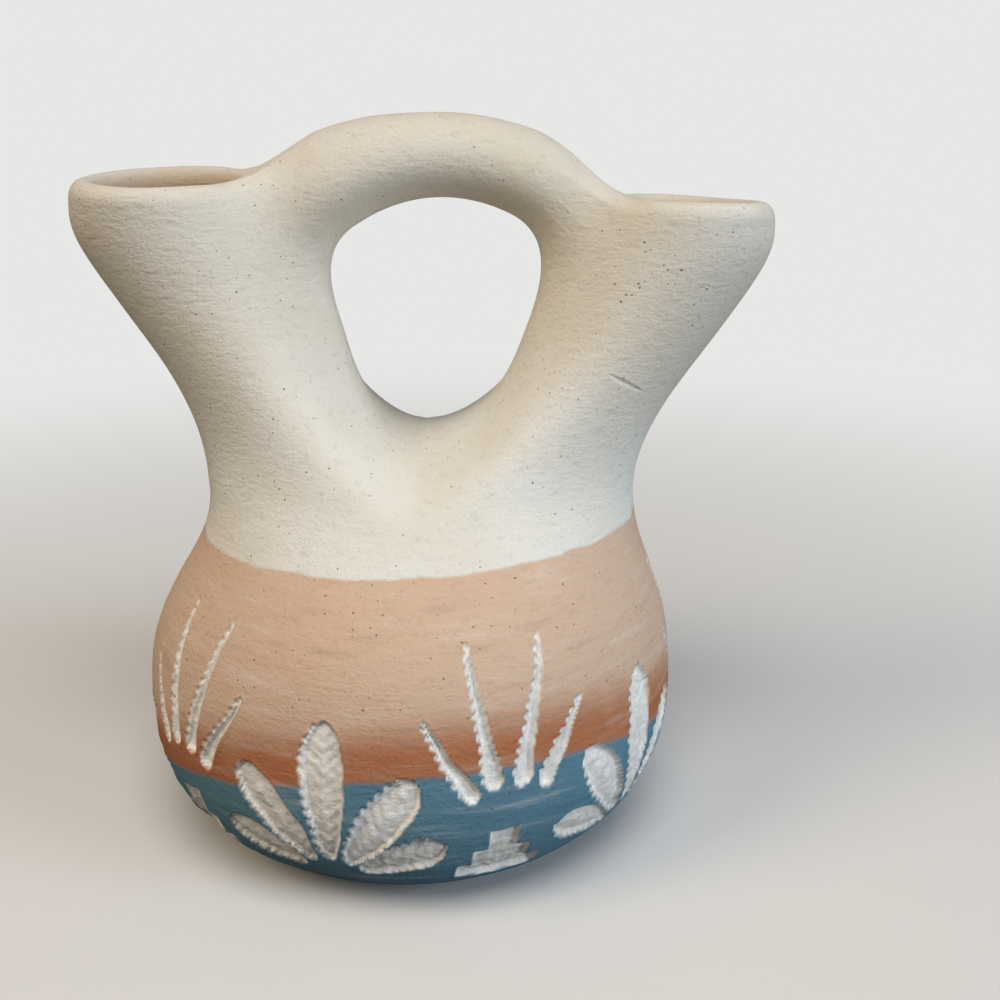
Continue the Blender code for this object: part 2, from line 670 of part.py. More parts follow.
def fillet_coil(name, handle, end):
    """Coil pressed round a handle foot, from the handle's side to the spout's skin, and widest below."""
    tree = handle.trees[end]
    side = handle.ring(handle.spring(end), SEAM)
    foot = handle.land(end, side)
    outward = unit(side - side.mean(axis=0))
    under = np.maximum(0.0, -np.sin(handle.sweep))**2
    reach = FILLET_REACH + (FILLET_UNDER_REACH - FILLET_REACH) * under
    seat = [foot]
    for _ in range(FILLET_SEAT_ROWS):
        seat.append(slide_along(tree, seat[-1], outward, reach / FILLET_SEAT_ROWS))
    back = unit(side - foot)
    climb = np.minimum(reach, np.linalg.norm(side - foot, axis=1))[:, None]
    shoulder = foot + climb * back
    crest = shoulder + FILLET_EDGE * outward
    corner = foot + FILLET_EDGE * (outward + back)
    toe = keep_off(tree, seat[-1], SEAM + FILLET_EDGE)
    hollow = [(1 - t)**2 * crest + 2 * (1 - t) * t * corner + t**2 * toe
              for t in np.linspace(0.0, 1.0, FILLET_HOLLOW_ROWS)]
    hollow = [keep_off(tree, row, SEAM + FILLET_EDGE) for row in hollow]
    rows = [shoulder] + hollow + seat[::-1]
    add_piece(name, ring_shape(rows), BARE_CLAY)


def main():
    clear_scene()
    base_disc()
    base_seam_coil()
    courses = [
        lower_bowl(),
        wall_course("belly_course", LOWER_COURSE_TOP, BELLY_COURSE_TOP, BELLY_ROWS, RUST_SLIP),
        wall_course("shoulder_course", BELLY_COURSE_TOP, WAIST_HEIGHT, SHOULDER_ROWS, TAN_SLIP)]
    cutter = frieze_cutter()
    for course in courses:
        carve(course, cutter)
    left, right = make_spouts()
    spout_piece("left_spout", left)
    spout_piece("right_spout", right)
    rim_coil("left_rim_coil", left)
    rim_coil("right_rim_coil", right)
    handle = Handle(left, right)
    bridge_handle(handle)
    fillet_coil("left_handle_fillet", handle, 0)
    fillet_coil("right_handle_fillet", handle, 1)


main()
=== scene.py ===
"""Looks of the small two-spouted wedding vase: smooth clay skins, a carved belly and painted slips.

Every CAD piece is replaced by a finer mesh on much the same curves, with a rounder saddle and fuller
rims. The seams close, because a fired vase shows none. The belly gets a frieze of carved feather fans,
stepped hills and rays, cut through the slip to the pale clay.
+X is the right spout, -Y is the front, and the origin is the middle of the foot.
"""

import math

import bpy
import numpy as np
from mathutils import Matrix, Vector, noise
from mathutils.bvhtree import BVHTree


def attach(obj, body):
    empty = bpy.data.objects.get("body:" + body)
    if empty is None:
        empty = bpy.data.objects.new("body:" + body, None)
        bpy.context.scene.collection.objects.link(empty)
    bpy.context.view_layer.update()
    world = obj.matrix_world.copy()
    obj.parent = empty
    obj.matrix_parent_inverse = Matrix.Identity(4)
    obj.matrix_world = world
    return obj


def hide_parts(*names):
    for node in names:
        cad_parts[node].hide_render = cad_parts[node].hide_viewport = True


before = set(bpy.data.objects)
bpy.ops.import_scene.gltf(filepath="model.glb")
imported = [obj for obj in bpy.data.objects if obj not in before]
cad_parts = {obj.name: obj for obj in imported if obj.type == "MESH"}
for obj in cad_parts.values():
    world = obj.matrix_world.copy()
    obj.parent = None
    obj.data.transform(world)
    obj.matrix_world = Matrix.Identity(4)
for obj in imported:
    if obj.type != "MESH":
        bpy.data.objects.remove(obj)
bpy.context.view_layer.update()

MM = 0.001

# Driving sizes of the body, as the CAD pieces have them
FOOT_RADIUS = 17.0 * MM
FOOT_PULL = 4.0 * MM
BELLY_RADIUS = 33.0 * MM
BELLY_HEIGHT = 18.6 * MM
BELLY_PULL_BELOW = 15.0 * MM
BELLY_PULL_ABOVE = 14.3 * MM
WAIST_HEIGHT = 44.2 * MM
WAIST_HALF_WIDTH = 26.1 * MM
WAIST_HALF_DEPTH = 21.5 * MM
WAIST_PULL = 9.1 * MM
WAIST_FRONT_LEAN = math.radians(42.0)
NECK_OFFSET = 1.7 * MM
WALL = 3.8 * MM
BASE_THICKNESS = 3.6 * MM
LOWER_COURSE_TOP = 14.0 * MM
BELLY_COURSE_TOP = 28.0 * MM
BASE_COIL = 4.0 * MM
BASE_COIL_LAP = 1.4 * MM
COIL_EDGE = 0.3 * MM

# Driving sizes of the saddle, the spouts and the handle
SADDLE_HEIGHT = 50.7 * MM
SADDLE_ROOT_PULL = 7.0 * MM
SADDLE_TOP_PULL = 4.0 * MM
MOUTH_HALF_DEPTH = 11.5 * MM
SIDE_ROOT_PULL = 12.0 * MM
SIDE_MOUTH_PULL = 11.0 * MM
OUTER_FLARE = -0.2
SIDE_FLARE = 0.2
INNER_FLARE = -0.75
LEFT_SPOUT = dict(
    side=-1.0, reach=28.5 * MM, height=79.4 * MM, half_width=12.4 * MM,
    tilt=math.radians(0.5), nod=math.radians(2.4),
    outer_root=18.6 * MM, outer_mouth=12.0 * MM, inner_root=10.0 * MM, inner_mouth=14.0 * MM,
    rim_swell=1.2 * MM)
RIGHT_SPOUT = dict(
    side=1.0, reach=30.6 * MM, height=76.9 * MM, half_width=11.7 * MM,
    tilt=math.radians(2.5), nod=math.radians(-3.5),
    outer_root=12.0 * MM, outer_mouth=10.5 * MM, inner_root=13.0 * MM, inner_mouth=10.5 * MM,
    rim_swell=3.2 * MM)
RIM_SWELL_FROM = 0.6
SQUARED_FROM = 0.375
LIP_SOFTENING = 0.6 * MM
LIP_SOFT_FROM = 0.82
HANDLE_HALF_HEIGHT = 4.8 * MM
HANDLE_HALF_DEPTH = 6.2 * MM
HANDLE_END_SWELL = 0.9 * MM
LEFT_HANDLE_SPRING = 7.0 * MM
RIGHT_HANDLE_SPRING = 9.0 * MM
HANDLE_LEFT_CROWN = 1.6 * MM
LEFT_HANDLE_FOOT_SHARE = 0.92
RIGHT_HANDLE_FOOT_SHARE = 0.99
LEFT_HANDLE_ANGLE = math.radians(43.0)
LEFT_HANDLE_PULL = 14.8 * MM
RIGHT_HANDLE_ANGLE = math.radians(46.5)
RIGHT_HANDLE_PULL = 10.8 * MM
FILLET_REACH = 5.0 * MM
FILLET_UNDER_REACH = 9.0 * MM
FILLET_TOP_REACH = 7.5 * MM
FILLET_STEPS = 6
FILLET_ROWS = 25
FILLET_PULL = 0.45
TOE_SMOOTHING = 12
FILLET_SKIN = 0.6 * MM
LANDING_SHARE = 0.7

# The net that the spouts are smoothed on, and how much finer the shown skins are
NET_AROUND = 40
NET_ROWS = 13
RIDGE_SHARE = 0.2
WAIST_FAN_SHARE = 0.2
FAN = math.radians(45.0)
SMOOTHING = 8
HELD_SHARE = 1.0 / 3.0
FINER = 5
LIP_ROWS = 17
LIP_PULL = WALL * 2.0 / 3.0
LIP_TREE_ROWS = LIP_ROWS * 3 // 4
BORE_EVERY = 4
BODY_AROUND = 800
ROWS_PER_MM = 3.6
HANDLE_AROUND = 96
HANDLE_ROWS = 90
COIL_AROUND = 160
COIL_ROWS = 12
INNER_ROWS = 8
FEWEST_ROWS = 4
BASE_RING_SHARE = 0.5
PROFILE_POINTS = 2001
AXIS_POINTS = 401
SLOPE_STEP = 1e-4

# Hand-smoothing: slow swells of the clay surface
SWELL_DEPTH = 0.12 * MM
SWELL_SIZE = 9.0 * MM

# Camera, solved from the photograph's upright lines and the vase's outline
CAMERA_PLACE = (11.35 * MM, -165.1 * MM, 96.24 * MM)
CAMERA_PITCH = math.radians(18.3)
CAMERA_LENS = 50.0
CAMERA_SENSOR = 36.0
CAMERA_NEAR = 0.005

# Colours of clay and slips
BARE_CLAY = (0.81, 0.795, 0.75)
# Darker, warmer clay for the upper parts: painted shade
UPPER_SHADE_CLAY = (0.75, 0.705, 0.625)
# Darker, warmer clay in the bore and over the lip's inner side: painted shade
BORE_SHADE_CLAY = (0.58, 0.46, 0.33)
CUT_CLAY = (0.93, 0.905, 0.86)
TAN_SLIP = (0.68, 0.48, 0.35)
RUST_SLIP = (0.47, 0.18, 0.08)
BLUE_SLIP = (0.115, 0.245, 0.325)
CLOUD_WARM = (0.94, 0.91, 0.85)
CLOUD_COOL = (1.0, 1.0, 1.0)
SPECK = (0.10, 0.075, 0.055)
# Heights over which the paler, painted-lit clay by the waist turns to the painted shade higher up
UPPER_SHADE_FROM = 48.0 * MM
UPPER_SHADE_FULL = 66.0 * MM

# Where the slips end, as slanted planes: height plus shares of x and y
BLUE_LINE = 12.6 * MM
BLUE_SLANT = (-0.088, 0.239)
RUST_FULL = 2.5 * MM
RUST_FADE = 9.0 * MM
TAN_LINE = 40.7 * MM
TAN_SLANT = (-0.038, 0.0)
EDGE_WANDER = 1.6 * MM
BLUE_EDGE = 0.45 * MM
TAN_EDGE = 0.2 * MM

# Fine texture: noise scales are waves in a metre, and a pair of values is where a mix starts and ends
CLOUDS = dict(scale=55.0, detail=3.0)
CLOUD_RANGE = (0.3, 0.7)
SPECK_STEP = 0.65 * MM
SPECK_CROWDS = dict(scale=110.0, detail=2.0)
SPECK_CROWD_RANGE = (0.45, 0.75)
SPECK_CHANCE = 0.1
SPECK_CROWD_CHANCE = 0.35
SPECK_LEAST = 0.06
SPECK_SPREAD = 0.15
SPECK_SHARE = 0.8
GRIT = dict(scale=1900.0, detail=4.0, roughness=0.7)
SANDING = dict(scale=1500.0, detail=3.0, roughness=0.6)
SANDING_STRETCH = (0.35, 0.35, 1.0)
SHADE_RANGE = (0.5, 0.3)
SHADE_SHARE = 0.16
ROUGHNESS = (0.82, 0.98)
SPECULAR = 0.2
BUMP_DEPTH = 0.2 * MM
GRIT_BUMP = 0.7
SANDING_BUMP = 0.6
EDGE_WAVER = dict(scale=130.0, detail=3.0)
STREAKS = dict(scale=700.0, detail=3.0, roughness=0.6)
STREAK_STRETCH = (0.12, 0.12, 1.0)
THIN_RANGE = (0.5, 0.85)
THIN_SHARE = 0.3
DEEP_RANGE = (0.45, 0.15)
DEEP_SHARE = 0.25
RUST_PATCHES = dict(scale=90.0, detail=3.0)
RUST_PATCH_RANGE = (-0.1, 0.5)
DUST = dict(scale=700.0, detail=3.0)
DUST_RANGE = (0.35, 0.7)
DUST_SHADE = 0.86

# Studio: place, size, power and colour of each lamp, and a floor that runs into the backdrop
LAMPS = dict(
    top=((0.05, -0.50, 0.86), 0.6, 4.8, (1.0, 0.99, 0.975)),
    left=((-0.70, -0.42, 0.70), 0.5, 3.8, (1.0, 0.81, 0.56)),
    right=((0.86, -0.45, 0.30), 0.5, 5.4, (0.76, 0.88, 1.0)))
LAMP_AIM = (0.0, 0.0, 0.045)
FLOOR = (0.80, 0.79, 0.78)
FLOOR_BOUNCE = (0.14, 0.135, 0.13)
BACKDROP = (0.80, 0.80, 0.79)
AMBIENT = (0.93, 0.93, 0.92)
AMBIENT_STRENGTH = 0.10
FLOOR_NEAR = 0.05
FLOOR_FAR = 0.28
FLOOR_RADIUS = 3.0
FLOOR_SIDES = 96
FLOOR_ROUGHNESS = 0.9

# A scratch across the front of the right spout
SCRATCH_START = (23.3 * MM, 0.0, 60.8 * MM)
SCRATCH_END = (28.0 * MM, 0.0, 57.9 * MM)
SCRATCH_BACK = -4.0 * MM
SCRATCH_HALF_WIDTH = 0.45 * MM
SCRATCH_DEPTH = 0.14 * MM

# Frieze on the belly unrolled: repeats of a feather fan, with a stepped hill and rays between two fans
FAN_COUNT = 5
FAN_WIDTH = 2.0 * np.pi * BELLY_RADIUS / FAN_COUNT
FIRST_FAN_TURN = math.radians(-104.0)
FAN_HUB_LEVEL = -14.0 * MM
FEATHER_ANGLES = np.radians((-58.0, -30.0, 0.0, 30.0, 58.0))
FEATHER_START = 4.2 * MM
FEATHER_LENGTH = 22.5 * MM
FEATHER_SHORTENING = 0.32
FEATHER_HALF_WIDTH = 2.4 * MM
FEATHER_BEND = 0.12
FEATHER_RIB_SHARE = 0.5
LEAF_WIDEST = 0.25**(1.0 / 3.0)
HILL_LEVEL = -14.5 * MM
HILL_STEP = 3.0 * MM
HILL_HALF_WIDTHS = (5.4 * MM, 3.6 * MM, 1.8 * MM)
RAY_HUB_LEVEL = -8.0 * MM
RAY_ANGLES = np.radians((-30.0, -11.0, 11.0, 30.0))
RAY_START = 9.0 * MM
RAY_LENGTH = 26.0 * MM
RAY_HALF_WIDTH = 1.0 * MM
RAY_TIP_SHARE = 0.2
CUT_DEPTH = 0.6 * MM
CUT_SLOPE = 0.4 * MM

# Marks of the tool: slanted barbs on the feathers, nicks along the edges, burrs and a rough floor
BARB_STEP = 1.5 * MM
BARB_DEPTH = 0.07 * MM
NICK_STEP = 1.3 * MM
NICK_REACH = 0.5 * MM
NICK_DEPTH = 0.3 * MM
NICK_EDGE = 0.15 * MM
BURR = 0.08 * MM
BURR_WIDTH = 0.3 * MM
BURR_GONE_DEPTH = 0.2 * MM
EDGE_CHIP = 0.12 * MM
EDGE_CHIP_SHIFT = 0.6
GOUGE_NOISE = 0.04 * MM
GOUGE_NOISE_DEPTH = 0.3 * MM
GOUGE_SEED = 11
GOUGE_BLUR = 2
WOBBLE = 0.35 * MM
WOBBLE_SIZE = 3.0 * MM
WOBBLE_SHIFT = Vector((7.3, 2.9, 5.1))
STROKE_POINTS = 33


# Curves and grids

def bezier(p0, p1, p2, p3, t):
    t = np.asarray(t, float)[..., None]
    return (1 - t)**3 * p0 + 3 * (1 - t)**2 * t * p1 + 3 * (1 - t) * t**2 * p2 + t**3 * p3


def bezier_rows(curve, count):
    """Rows across a set of curves, one curve in each column."""
    levels = np.linspace(0.0, 1.0, count)
    return np.array([bezier(*curve, np.full(len(curve[0]), level)) for level in levels])


def unit(vectors):
    return vectors / np.linalg.norm(vectors, axis=-1, keepdims=True)


def distances(line):
    """Distance along a line from its first point, at each point."""
    return np.concatenate([[0.0], np.cumsum(np.linalg.norm(np.diff(line, axis=0), axis=1))])


def ease(t):
    t = np.clip(t, 0.0, 1.0)
    return t * t * (3.0 - 2.0 * t)


def turns(count):
    return np.linspace(0.0, 2.0 * np.pi, count, endpoint=False)


def grid_normals(rows):
    """Normals of rows of rings, each ring closed."""
    along = np.roll(rows, -1, axis=1) - np.roll(rows, 1, axis=1)
    return unit(np.cross(along, np.gradient(rows, axis=0)))


def spline(points, factor, closed):
    """Catmull-Rom points through the first axis of an array, each step split into factor steps."""
    if closed:
        padded = np.concatenate([points[-1:], points, points[:2]])
    else:
        padded = np.concatenate([2 * points[:1] - points[1:2], points, 2 * points[-1:] - points[-2:-1]])
    a, b, c, d = padded[:-3], padded[1:-2], padded[2:-1], padded[3:]
    pieces = []
    for t in np.arange(factor) / factor:
        pieces.append(0.5 * (2 * b + (c - a) * t + (2 * a - 5 * b + 4 * c - d) * t**2
                             + (3 * b - a - 3 * c + d) * t**3))
    fine = np.stack(pieces, axis=1).reshape((-1,) + points.shape[1:])
    return fine if closed else np.concatenate([fine, points[-1:]])


def swell(points):
    """Slow rise and fall of hand-smoothed clay, the same wherever two skins meet."""
    flat = points.reshape(-1, 3) / SWELL_SIZE
    heights = np.array([noise.noise(Vector(point)) for point in flat])
    return SWELL_DEPTH * heights.reshape(points.shape[:-1] + (1,))


# The body's outside: span 0 to 1 is foot to belly, 1 to 2 is belly to waist

def body_profile(span):
    """Half-width, half-depth, offset of the centre and height at each span value."""
    span = np.atleast_1d(np.asarray(span, float))
    front_ease = WAIST_HALF_DEPTH + WAIST_PULL * math.tan(WAIST_FRONT_LEAN)
    low = np.array([
        [FOOT_RADIUS, FOOT_RADIUS, 0.0, 0.0],
        [FOOT_RADIUS + FOOT_PULL, FOOT_RADIUS + FOOT_PULL, 0.0, 0.0],
        [BELLY_RADIUS, BELLY_RADIUS, 0.0, BELLY_HEIGHT - BELLY_PULL_BELOW],
        [BELLY_RADIUS, BELLY_RADIUS, 0.0, BELLY_HEIGHT]])
    high = np.array([
        [BELLY_RADIUS, BELLY_RADIUS, 0.0, BELLY_HEIGHT],
        [BELLY_RADIUS, BELLY_RADIUS, 0.0, BELLY_HEIGHT + BELLY_PULL_ABOVE],
        [WAIST_HALF_WIDTH, front_ease, NECK_OFFSET, WAIST_HEIGHT - WAIST_PULL],
        [WAIST_HALF_WIDTH, WAIST_HALF_DEPTH, NECK_OFFSET, WAIST_HEIGHT]])
    return np.where((span <= 1.0)[:, None], bezier(*low, span), bezier(*high, span - 1.0))


def body_rings(span, turn):
    width, depth, centre, height = (column[:, None] for column in body_profile(span).T)
    x = centre + width * np.cos(turn)
    y = depth * np.sin(turn)
    return np.stack([x, y, height + 0.0 * x], axis=-1)


def body_rises(span, turn):
    return unit(body_rings(span, turn) - body_rings(np.asarray(span) - SLOPE_STEP, turn))


def body_normals(span, turn):
    along = body_rings(span, turn + SLOPE_STEP) - body_rings(span, turn - SLOPE_STEP)
    return unit(np.cross(along, body_rises(span, turn)))


def span_at(height):
    spans = np.linspace(0.0, 2.0, PROFILE_POINTS)
    return float(np.interp(height, body_profile(spans)[:, 3], spans))


# Spout skins, made for the right side and mirrored for the left

class Spout:
    def __init__(self, side, reach, height, half_width, tilt, nod, outer_root, outer_mouth,
                 inner_root, inner_mouth, rim_swell):
        self.side = side
        self.share = np.arange(NET_AROUND) / NET_AROUND
        self.place_mouth(reach, height, half_width, tilt, nod)
        rows = spline(self.net(outer_root, outer_mouth, inner_root, inner_mouth), FINER, False)
        self.skin = spline(rows.swapaxes(0, 1), FINER, True).swapaxes(0, 1)
        self.levels = np.linspace(0.0, 1.0, len(self.skin))[:, None, None]
        self.ring_away = unit(spline(self.away, FINER, True))
        self.rim_swell = rim_swell * np.maximum(0.0, -np.cos(turns(NET_AROUND * FINER)))[:, None]**2
        self.bore = self.bore_rows(grid_normals(self.skin))
        rounding = np.maximum(0.0, self.levels - LIP_SOFT_FROM) / (1.0 - LIP_SOFT_FROM)
        self.skin -= LIP_SOFTENING * rounding**2 * self.ring_away
        self.normals = grid_normals(self.skin)
        self.normals[0] = self.root_normals()
        self.lip = self.lip_rows()

    def place_mouth(self, reach, height, half_width, tilt, nod):
        turn = 2.0 * np.pi * self.share[:, None]
        out = np.array([np.cos(tilt), 0.0, -np.sin(tilt)])
        plumb = np.array([np.sin(tilt), 0.0, np.cos(tilt)])
        back = np.array([0.0, np.cos(nod), 0.0]) + np.sin(nod) * plumb
        self.axis = np.cross(out, back)
        self.away = np.cos(turn) * out + np.sin(turn) * back
        ring = half_width * np.cos(turn) * out + MOUTH_HALF_DEPTH * np.sin(turn) * back
        self.mouth = np.array([reach, 0.0, height]) + ring
        self.entering = unit(self.axis + self.around(OUTER_FLARE, INNER_FLARE, SIDE_FLARE) * self.away)

    def around(self, outer, inner, side):
        """A value for each turn, from its values at the outer, inner and side lines."""
        cosine = np.cos(2.0 * np.pi * self.share)
        end = np.where(cosine > 0.0, outer, inner)
        return (side + (end - side) * cosine**2)[:, None]

    def root(self):
        """Root ring on the waist and the saddle's ridge, with the direction that leaves it."""
        off = (self.share + 0.5) % 1.0 - 0.5
        corner = 0.5 - RIDGE_SHARE
        outward = np.array([1.0, 0.0, 0.0])
        turn = np.clip(off / corner, -1.0, 1.0) * np.pi / 2
        waist = body_rings([2.0], turn)[0] - np.array([NECK_OFFSET, 0.0, 0.0])
        rise = body_rises([2.0], turn)[0]
        aside = np.sign(off)[:, None] * np.stack([np.sin(turn), -np.cos(turn), 0.0 * turn], axis=-1)
        fan = FAN * ease((np.abs(off) - corner + WAIST_FAN_SHARE) / WAIST_FAN_SHARE)[:, None]
        from_waist = rise * np.cos(fan) + aside * np.sin(fan)
        climb = np.clip((np.abs(off) - corner) / RIDGE_SHARE, 0.0, 1.0)
        arch, arch_rise = self.ridge(climb)
        facing = np.stack([0.0 * off, -np.sign(off), 1.0 + 0.0 * off], axis=-1)
        fan = (FAN + (np.pi / 2 - FAN) * climb)[:, None]
        from_ridge = arch_rise * facing * np.cos(fan) + outward * np.sin(fan)
        on_ridge = (np.abs(off) > corner)[:, None]
        points = np.where(on_ridge, arch * facing, waist)
        return points, unit(np.where(on_ridge, from_ridge, from_waist))

    def ridge(self, climb):
        """The saddle's ridge and its direction, by share of the climb from waist to crest."""
        lean = np.array([0.0, np.sin(WAIST_FRONT_LEAN), np.cos(WAIST_FRONT_LEAN)])
        start = np.array([0.0, -WAIST_HALF_DEPTH, WAIST_HEIGHT])
        top = np.array([0.0, 0.0, SADDLE_HEIGHT])
        before_top = top - np.array([0.0, SADDLE_TOP_PULL, 0.0])
        curve = (start, start + SADDLE_ROOT_PULL * lean, before_top, top)
        ahead = bezier(*curve, climb + SLOPE_STEP)
        back = bezier(*curve, climb - SLOPE_STEP)
        return bezier(*curve, climb), unit(ahead - back)

    def net(self, outer_root, outer_mouth, inner_root, inner_mouth):
        """Coarse rows from root to mouth, smoothed away from both ends and the inner line."""
        start, leaving = self.root()
        root_pull = self.around(outer_root, inner_root, SIDE_ROOT_PULL)
        mouth_pull = self.around(outer_mouth, inner_mouth, SIDE_MOUTH_PULL)
        before_mouth = self.mouth - mouth_pull * self.entering
        skin = bezier_rows((start, start + root_pull * leaving, before_mouth, self.mouth), NET_ROWS)
        levels = np.linspace(0.0, 1.0, NET_ROWS)
        off_ends = np.minimum(1.0, np.minimum(levels, 1.0 - levels) / HELD_SHARE)[1:-1, None, None]
        off_inner = 1.0 - ease(1.0 - np.abs(self.share - 0.5) / RIDGE_SHARE)
        give = off_ends * off_inner[:, None]
        for _ in range(SMOOTHING):
            beside = np.roll(skin, 1, axis=1) + np.roll(skin, -1, axis=1)
            middle = (beside[1:-1] + skin[:-2] + skin[2:]) / 4.0
            skin[1:-1] += give * (middle - skin[1:-1])
        return skin

    def root_normals(self):
        leaving = unit(spline(self.root()[1], FINER, True))
        along = np.roll(self.skin[0], -1, axis=0) - np.roll(self.skin[0], 1, axis=0)
        return unit(np.cross(along, leaving))

    def lip_rows(self):
        """Half-round rows over the wall's top, smooth with the outside and thickest by the handle."""
        start = self.skin[-1]
        leaving = unit(self.skin[-1] - self.skin[-2])
        end = start - (WALL + self.rim_swell - LIP_SOFTENING) * self.ring_away
        return bezier_rows((start, start + LIP_PULL * leaving, end + LIP_PULL * self.axis, end), LIP_ROWS)

    def bore_rows(self, normals):
        """The bore's skin: a wall inside the outside, square to the mouth at the top."""
        share = ease((self.levels - SQUARED_FROM) / (1.0 - SQUARED_FROM))
        inward = unit(normals * (1.0 - share) + self.ring_away * share)
        swelling = ease((self.levels - RIM_SWELL_FROM) / (1.0 - RIM_SWELL_FROM)) * self.rim_swell
        return self.skin - (WALL + swelling) * inward

    def place(self, points):
        """Points of the right-hand form in their place, mirrored for the left spout."""
        return points * np.array([self.side, 1.0, 1.0]) + np.array([NECK_OFFSET, 0.0, 0.0])

    def turn_normals(self, normals):
        return normals * np.array([self.side, 1.0, 1.0])


# Meshes

def add_object(name, data):
    thing = bpy.data.objects.new(name, data)
    bpy.context.collection.objects.link(thing)
    return thing


def add_mesh(name, points, faces, normals, material):
    mesh = bpy.data.meshes.new(name)
    mesh.from_pydata(points.tolist(), [], faces)
    mesh.shade_smooth()
    mesh.normals_split_custom_set_from_vertices(normals.tolist())
    mesh.materials.append(material)
    return add_object(name, mesh)


def grid_quads(rows, columns, close_rows, flip):
    """Vertex numbers of the quads between neighbouring rings."""
    last = rows if close_rows else rows - 1
    low = (np.arange(last)[:, None] * columns + np.arange(columns)).ravel()
    side = (np.arange(last)[:, None] * columns + (np.arange(columns) + 1) % columns).ravel()
    up = columns * ((low // columns + 1) % rows) + low % columns
    up_side = columns * ((side // columns + 1) % rows) + side % columns
    quads = np.stack([low, side, up_side, up], axis=1)
    return (quads[:, ::-1] if flip else quads).tolist()


def ring_piece(name, rows, normals, material, flip=False):
    """A closed ring whose last row joins its first."""
    count, columns = rows.shape[:2]
    faces = grid_quads(count, columns, True, flip)
    return add_mesh(name, rows.reshape(-1, 3), faces, normals.reshape(-1, 3), material)


def bar_piece(name, rows, normals, material, flip=False):
    """A closed bar: rows along it, with a fan at each end."""
    count, columns = rows.shape[:2]
    faces = grid_quads(count, columns, False, flip)
    points = rows.reshape(-1, 3)
    directions = normals.reshape(-1, 3)
    ends = [(0, flip), (count - 1, not flip)]
    for number, (row, turned) in enumerate(ends):
        middle = len(points) + number
        for i in range(columns):
            fan = [row * columns + (i + 1) % columns, row * columns + i, middle]
            faces.append(fan[::-1] if turned else fan)
    middles = [rows[0].mean(axis=0), rows[-1].mean(axis=0)]
    outward = [unit(middles[0] - middles[1]), unit(middles[1] - middles[0])]
    points = np.concatenate([points, middles])
    directions = np.concatenate([directions, outward])
    return add_mesh(name, points, faces, directions, material)


def paint_float(piece, name, values):
    attribute = piece.data.attributes.new(name, "FLOAT", "POINT")
    attribute.data.foreach_set("value", np.asarray(values, np.float32))


def stand_for(piece, node):
    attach(piece, "root")
    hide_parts(node)


# Carving of the frieze, on the belly unrolled: x along the girth, y up the wall from the widest line

def blade_line(hub, angle, start, length, bend):
    """Middle line of a long cut that leaves a hub at an angle and bends away from the upright."""
    heading = np.array([math.sin(angle), math.cos(angle)])
    aside = np.array([heading[1], -heading[0]])
    share = np.linspace(0.0, 1.0, STROKE_POINTS)[:, None]
    sag = bend * length * math.sin(angle)
    return hub + heading * (start + share * (length - start)) + aside * sag * share**2


def measure(line, points):
    """Share along a line, distance along it and signed distance from it, for each point."""
    step = np.diff(line, axis=0)
    size = np.linalg.norm(step, axis=1)
    offset = points[:, None] - line[:-1]
    share = np.clip((offset * step).sum(axis=2) / size**2, 0.0, 1.0)
    gap = offset - share[..., None] * step
    distance = np.linalg.norm(gap, axis=2)
    nearest = distance.argmin(axis=1)
    pick = np.arange(len(points))
    side = step[nearest, 0] * gap[pick, nearest, 1] - step[nearest, 1] * gap[pick, nearest, 0]
    along = distances(line)[nearest] + share[pick, nearest] * size[nearest]
    return along / size.sum(), along, np.sign(side) * distance[pick, nearest]


def nicks(inside, along, aside):
    """Half-moon nicks along the left edge of a cut."""
    reach = NICK_REACH * np.abs(np.sin(np.pi * along / NICK_STEP))
    return ease((inside + reach) / NICK_EDGE) * (aside > 0.0) * (inside < 0.0)


def leaf(share):
    """Half-width of a blunt leaf along its length, on a scale of its own."""
    return np.sqrt(np.clip(share * (1.0 - share**3), 0.0, 1.0))


def feather_cut(line, points):
    """A blunt leaf with a low rib and slanted barbs: room inside its edge, depth and nicks."""
    share, along, aside = measure(line, points)
    half_width = FEATHER_HALF_WIDTH * leaf(share) / leaf(LEAF_WIDEST)
    inside = half_width - np.abs(aside)
    rib = FEATHER_RIB_SHARE * np.clip(inside / np.maximum(half_width, MM), 0.0, 1.0)
    barbs = 0.5 - 0.5 * np.cos(2.0 * np.pi * (along - np.abs(aside)) / BARB_STEP)
    depth = CUT_DEPTH * (1.0 - rib) + BARB_DEPTH * barbs
    return inside, depth, nicks(inside, along, aside)


def ray_cut(line, points):
    """A straight blade that narrows towards its tip, with a flat floor."""
    share, along, aside = measure(line, points)
    inside = RAY_HALF_WIDTH * (1.0 - (1.0 - RAY_TIP_SHARE) * share) - np.abs(aside)
    return inside, np.full(len(points), CUT_DEPTH), nicks(inside, along, aside)


def hill_cut(line, points):
    """A stepped hill with a flat floor, lightly grooved along its courses."""
    x = np.abs(points[:, 0] - line[0, 0])
    up = points[:, 1] - line[0, 1]
    steps = []
    for number, half_width in enumerate(HILL_HALF_WIDTHS):
        steps.append(np.minimum(half_width - x, np.minimum(up, (number + 1) * HILL_STEP - up)))
    groove = 0.5 - 0.5 * np.cos(2.0 * np.pi * up / BARB_STEP)
    return np.max(steps, axis=0), CUT_DEPTH + BARB_DEPTH * groove, np.zeros(len(points))


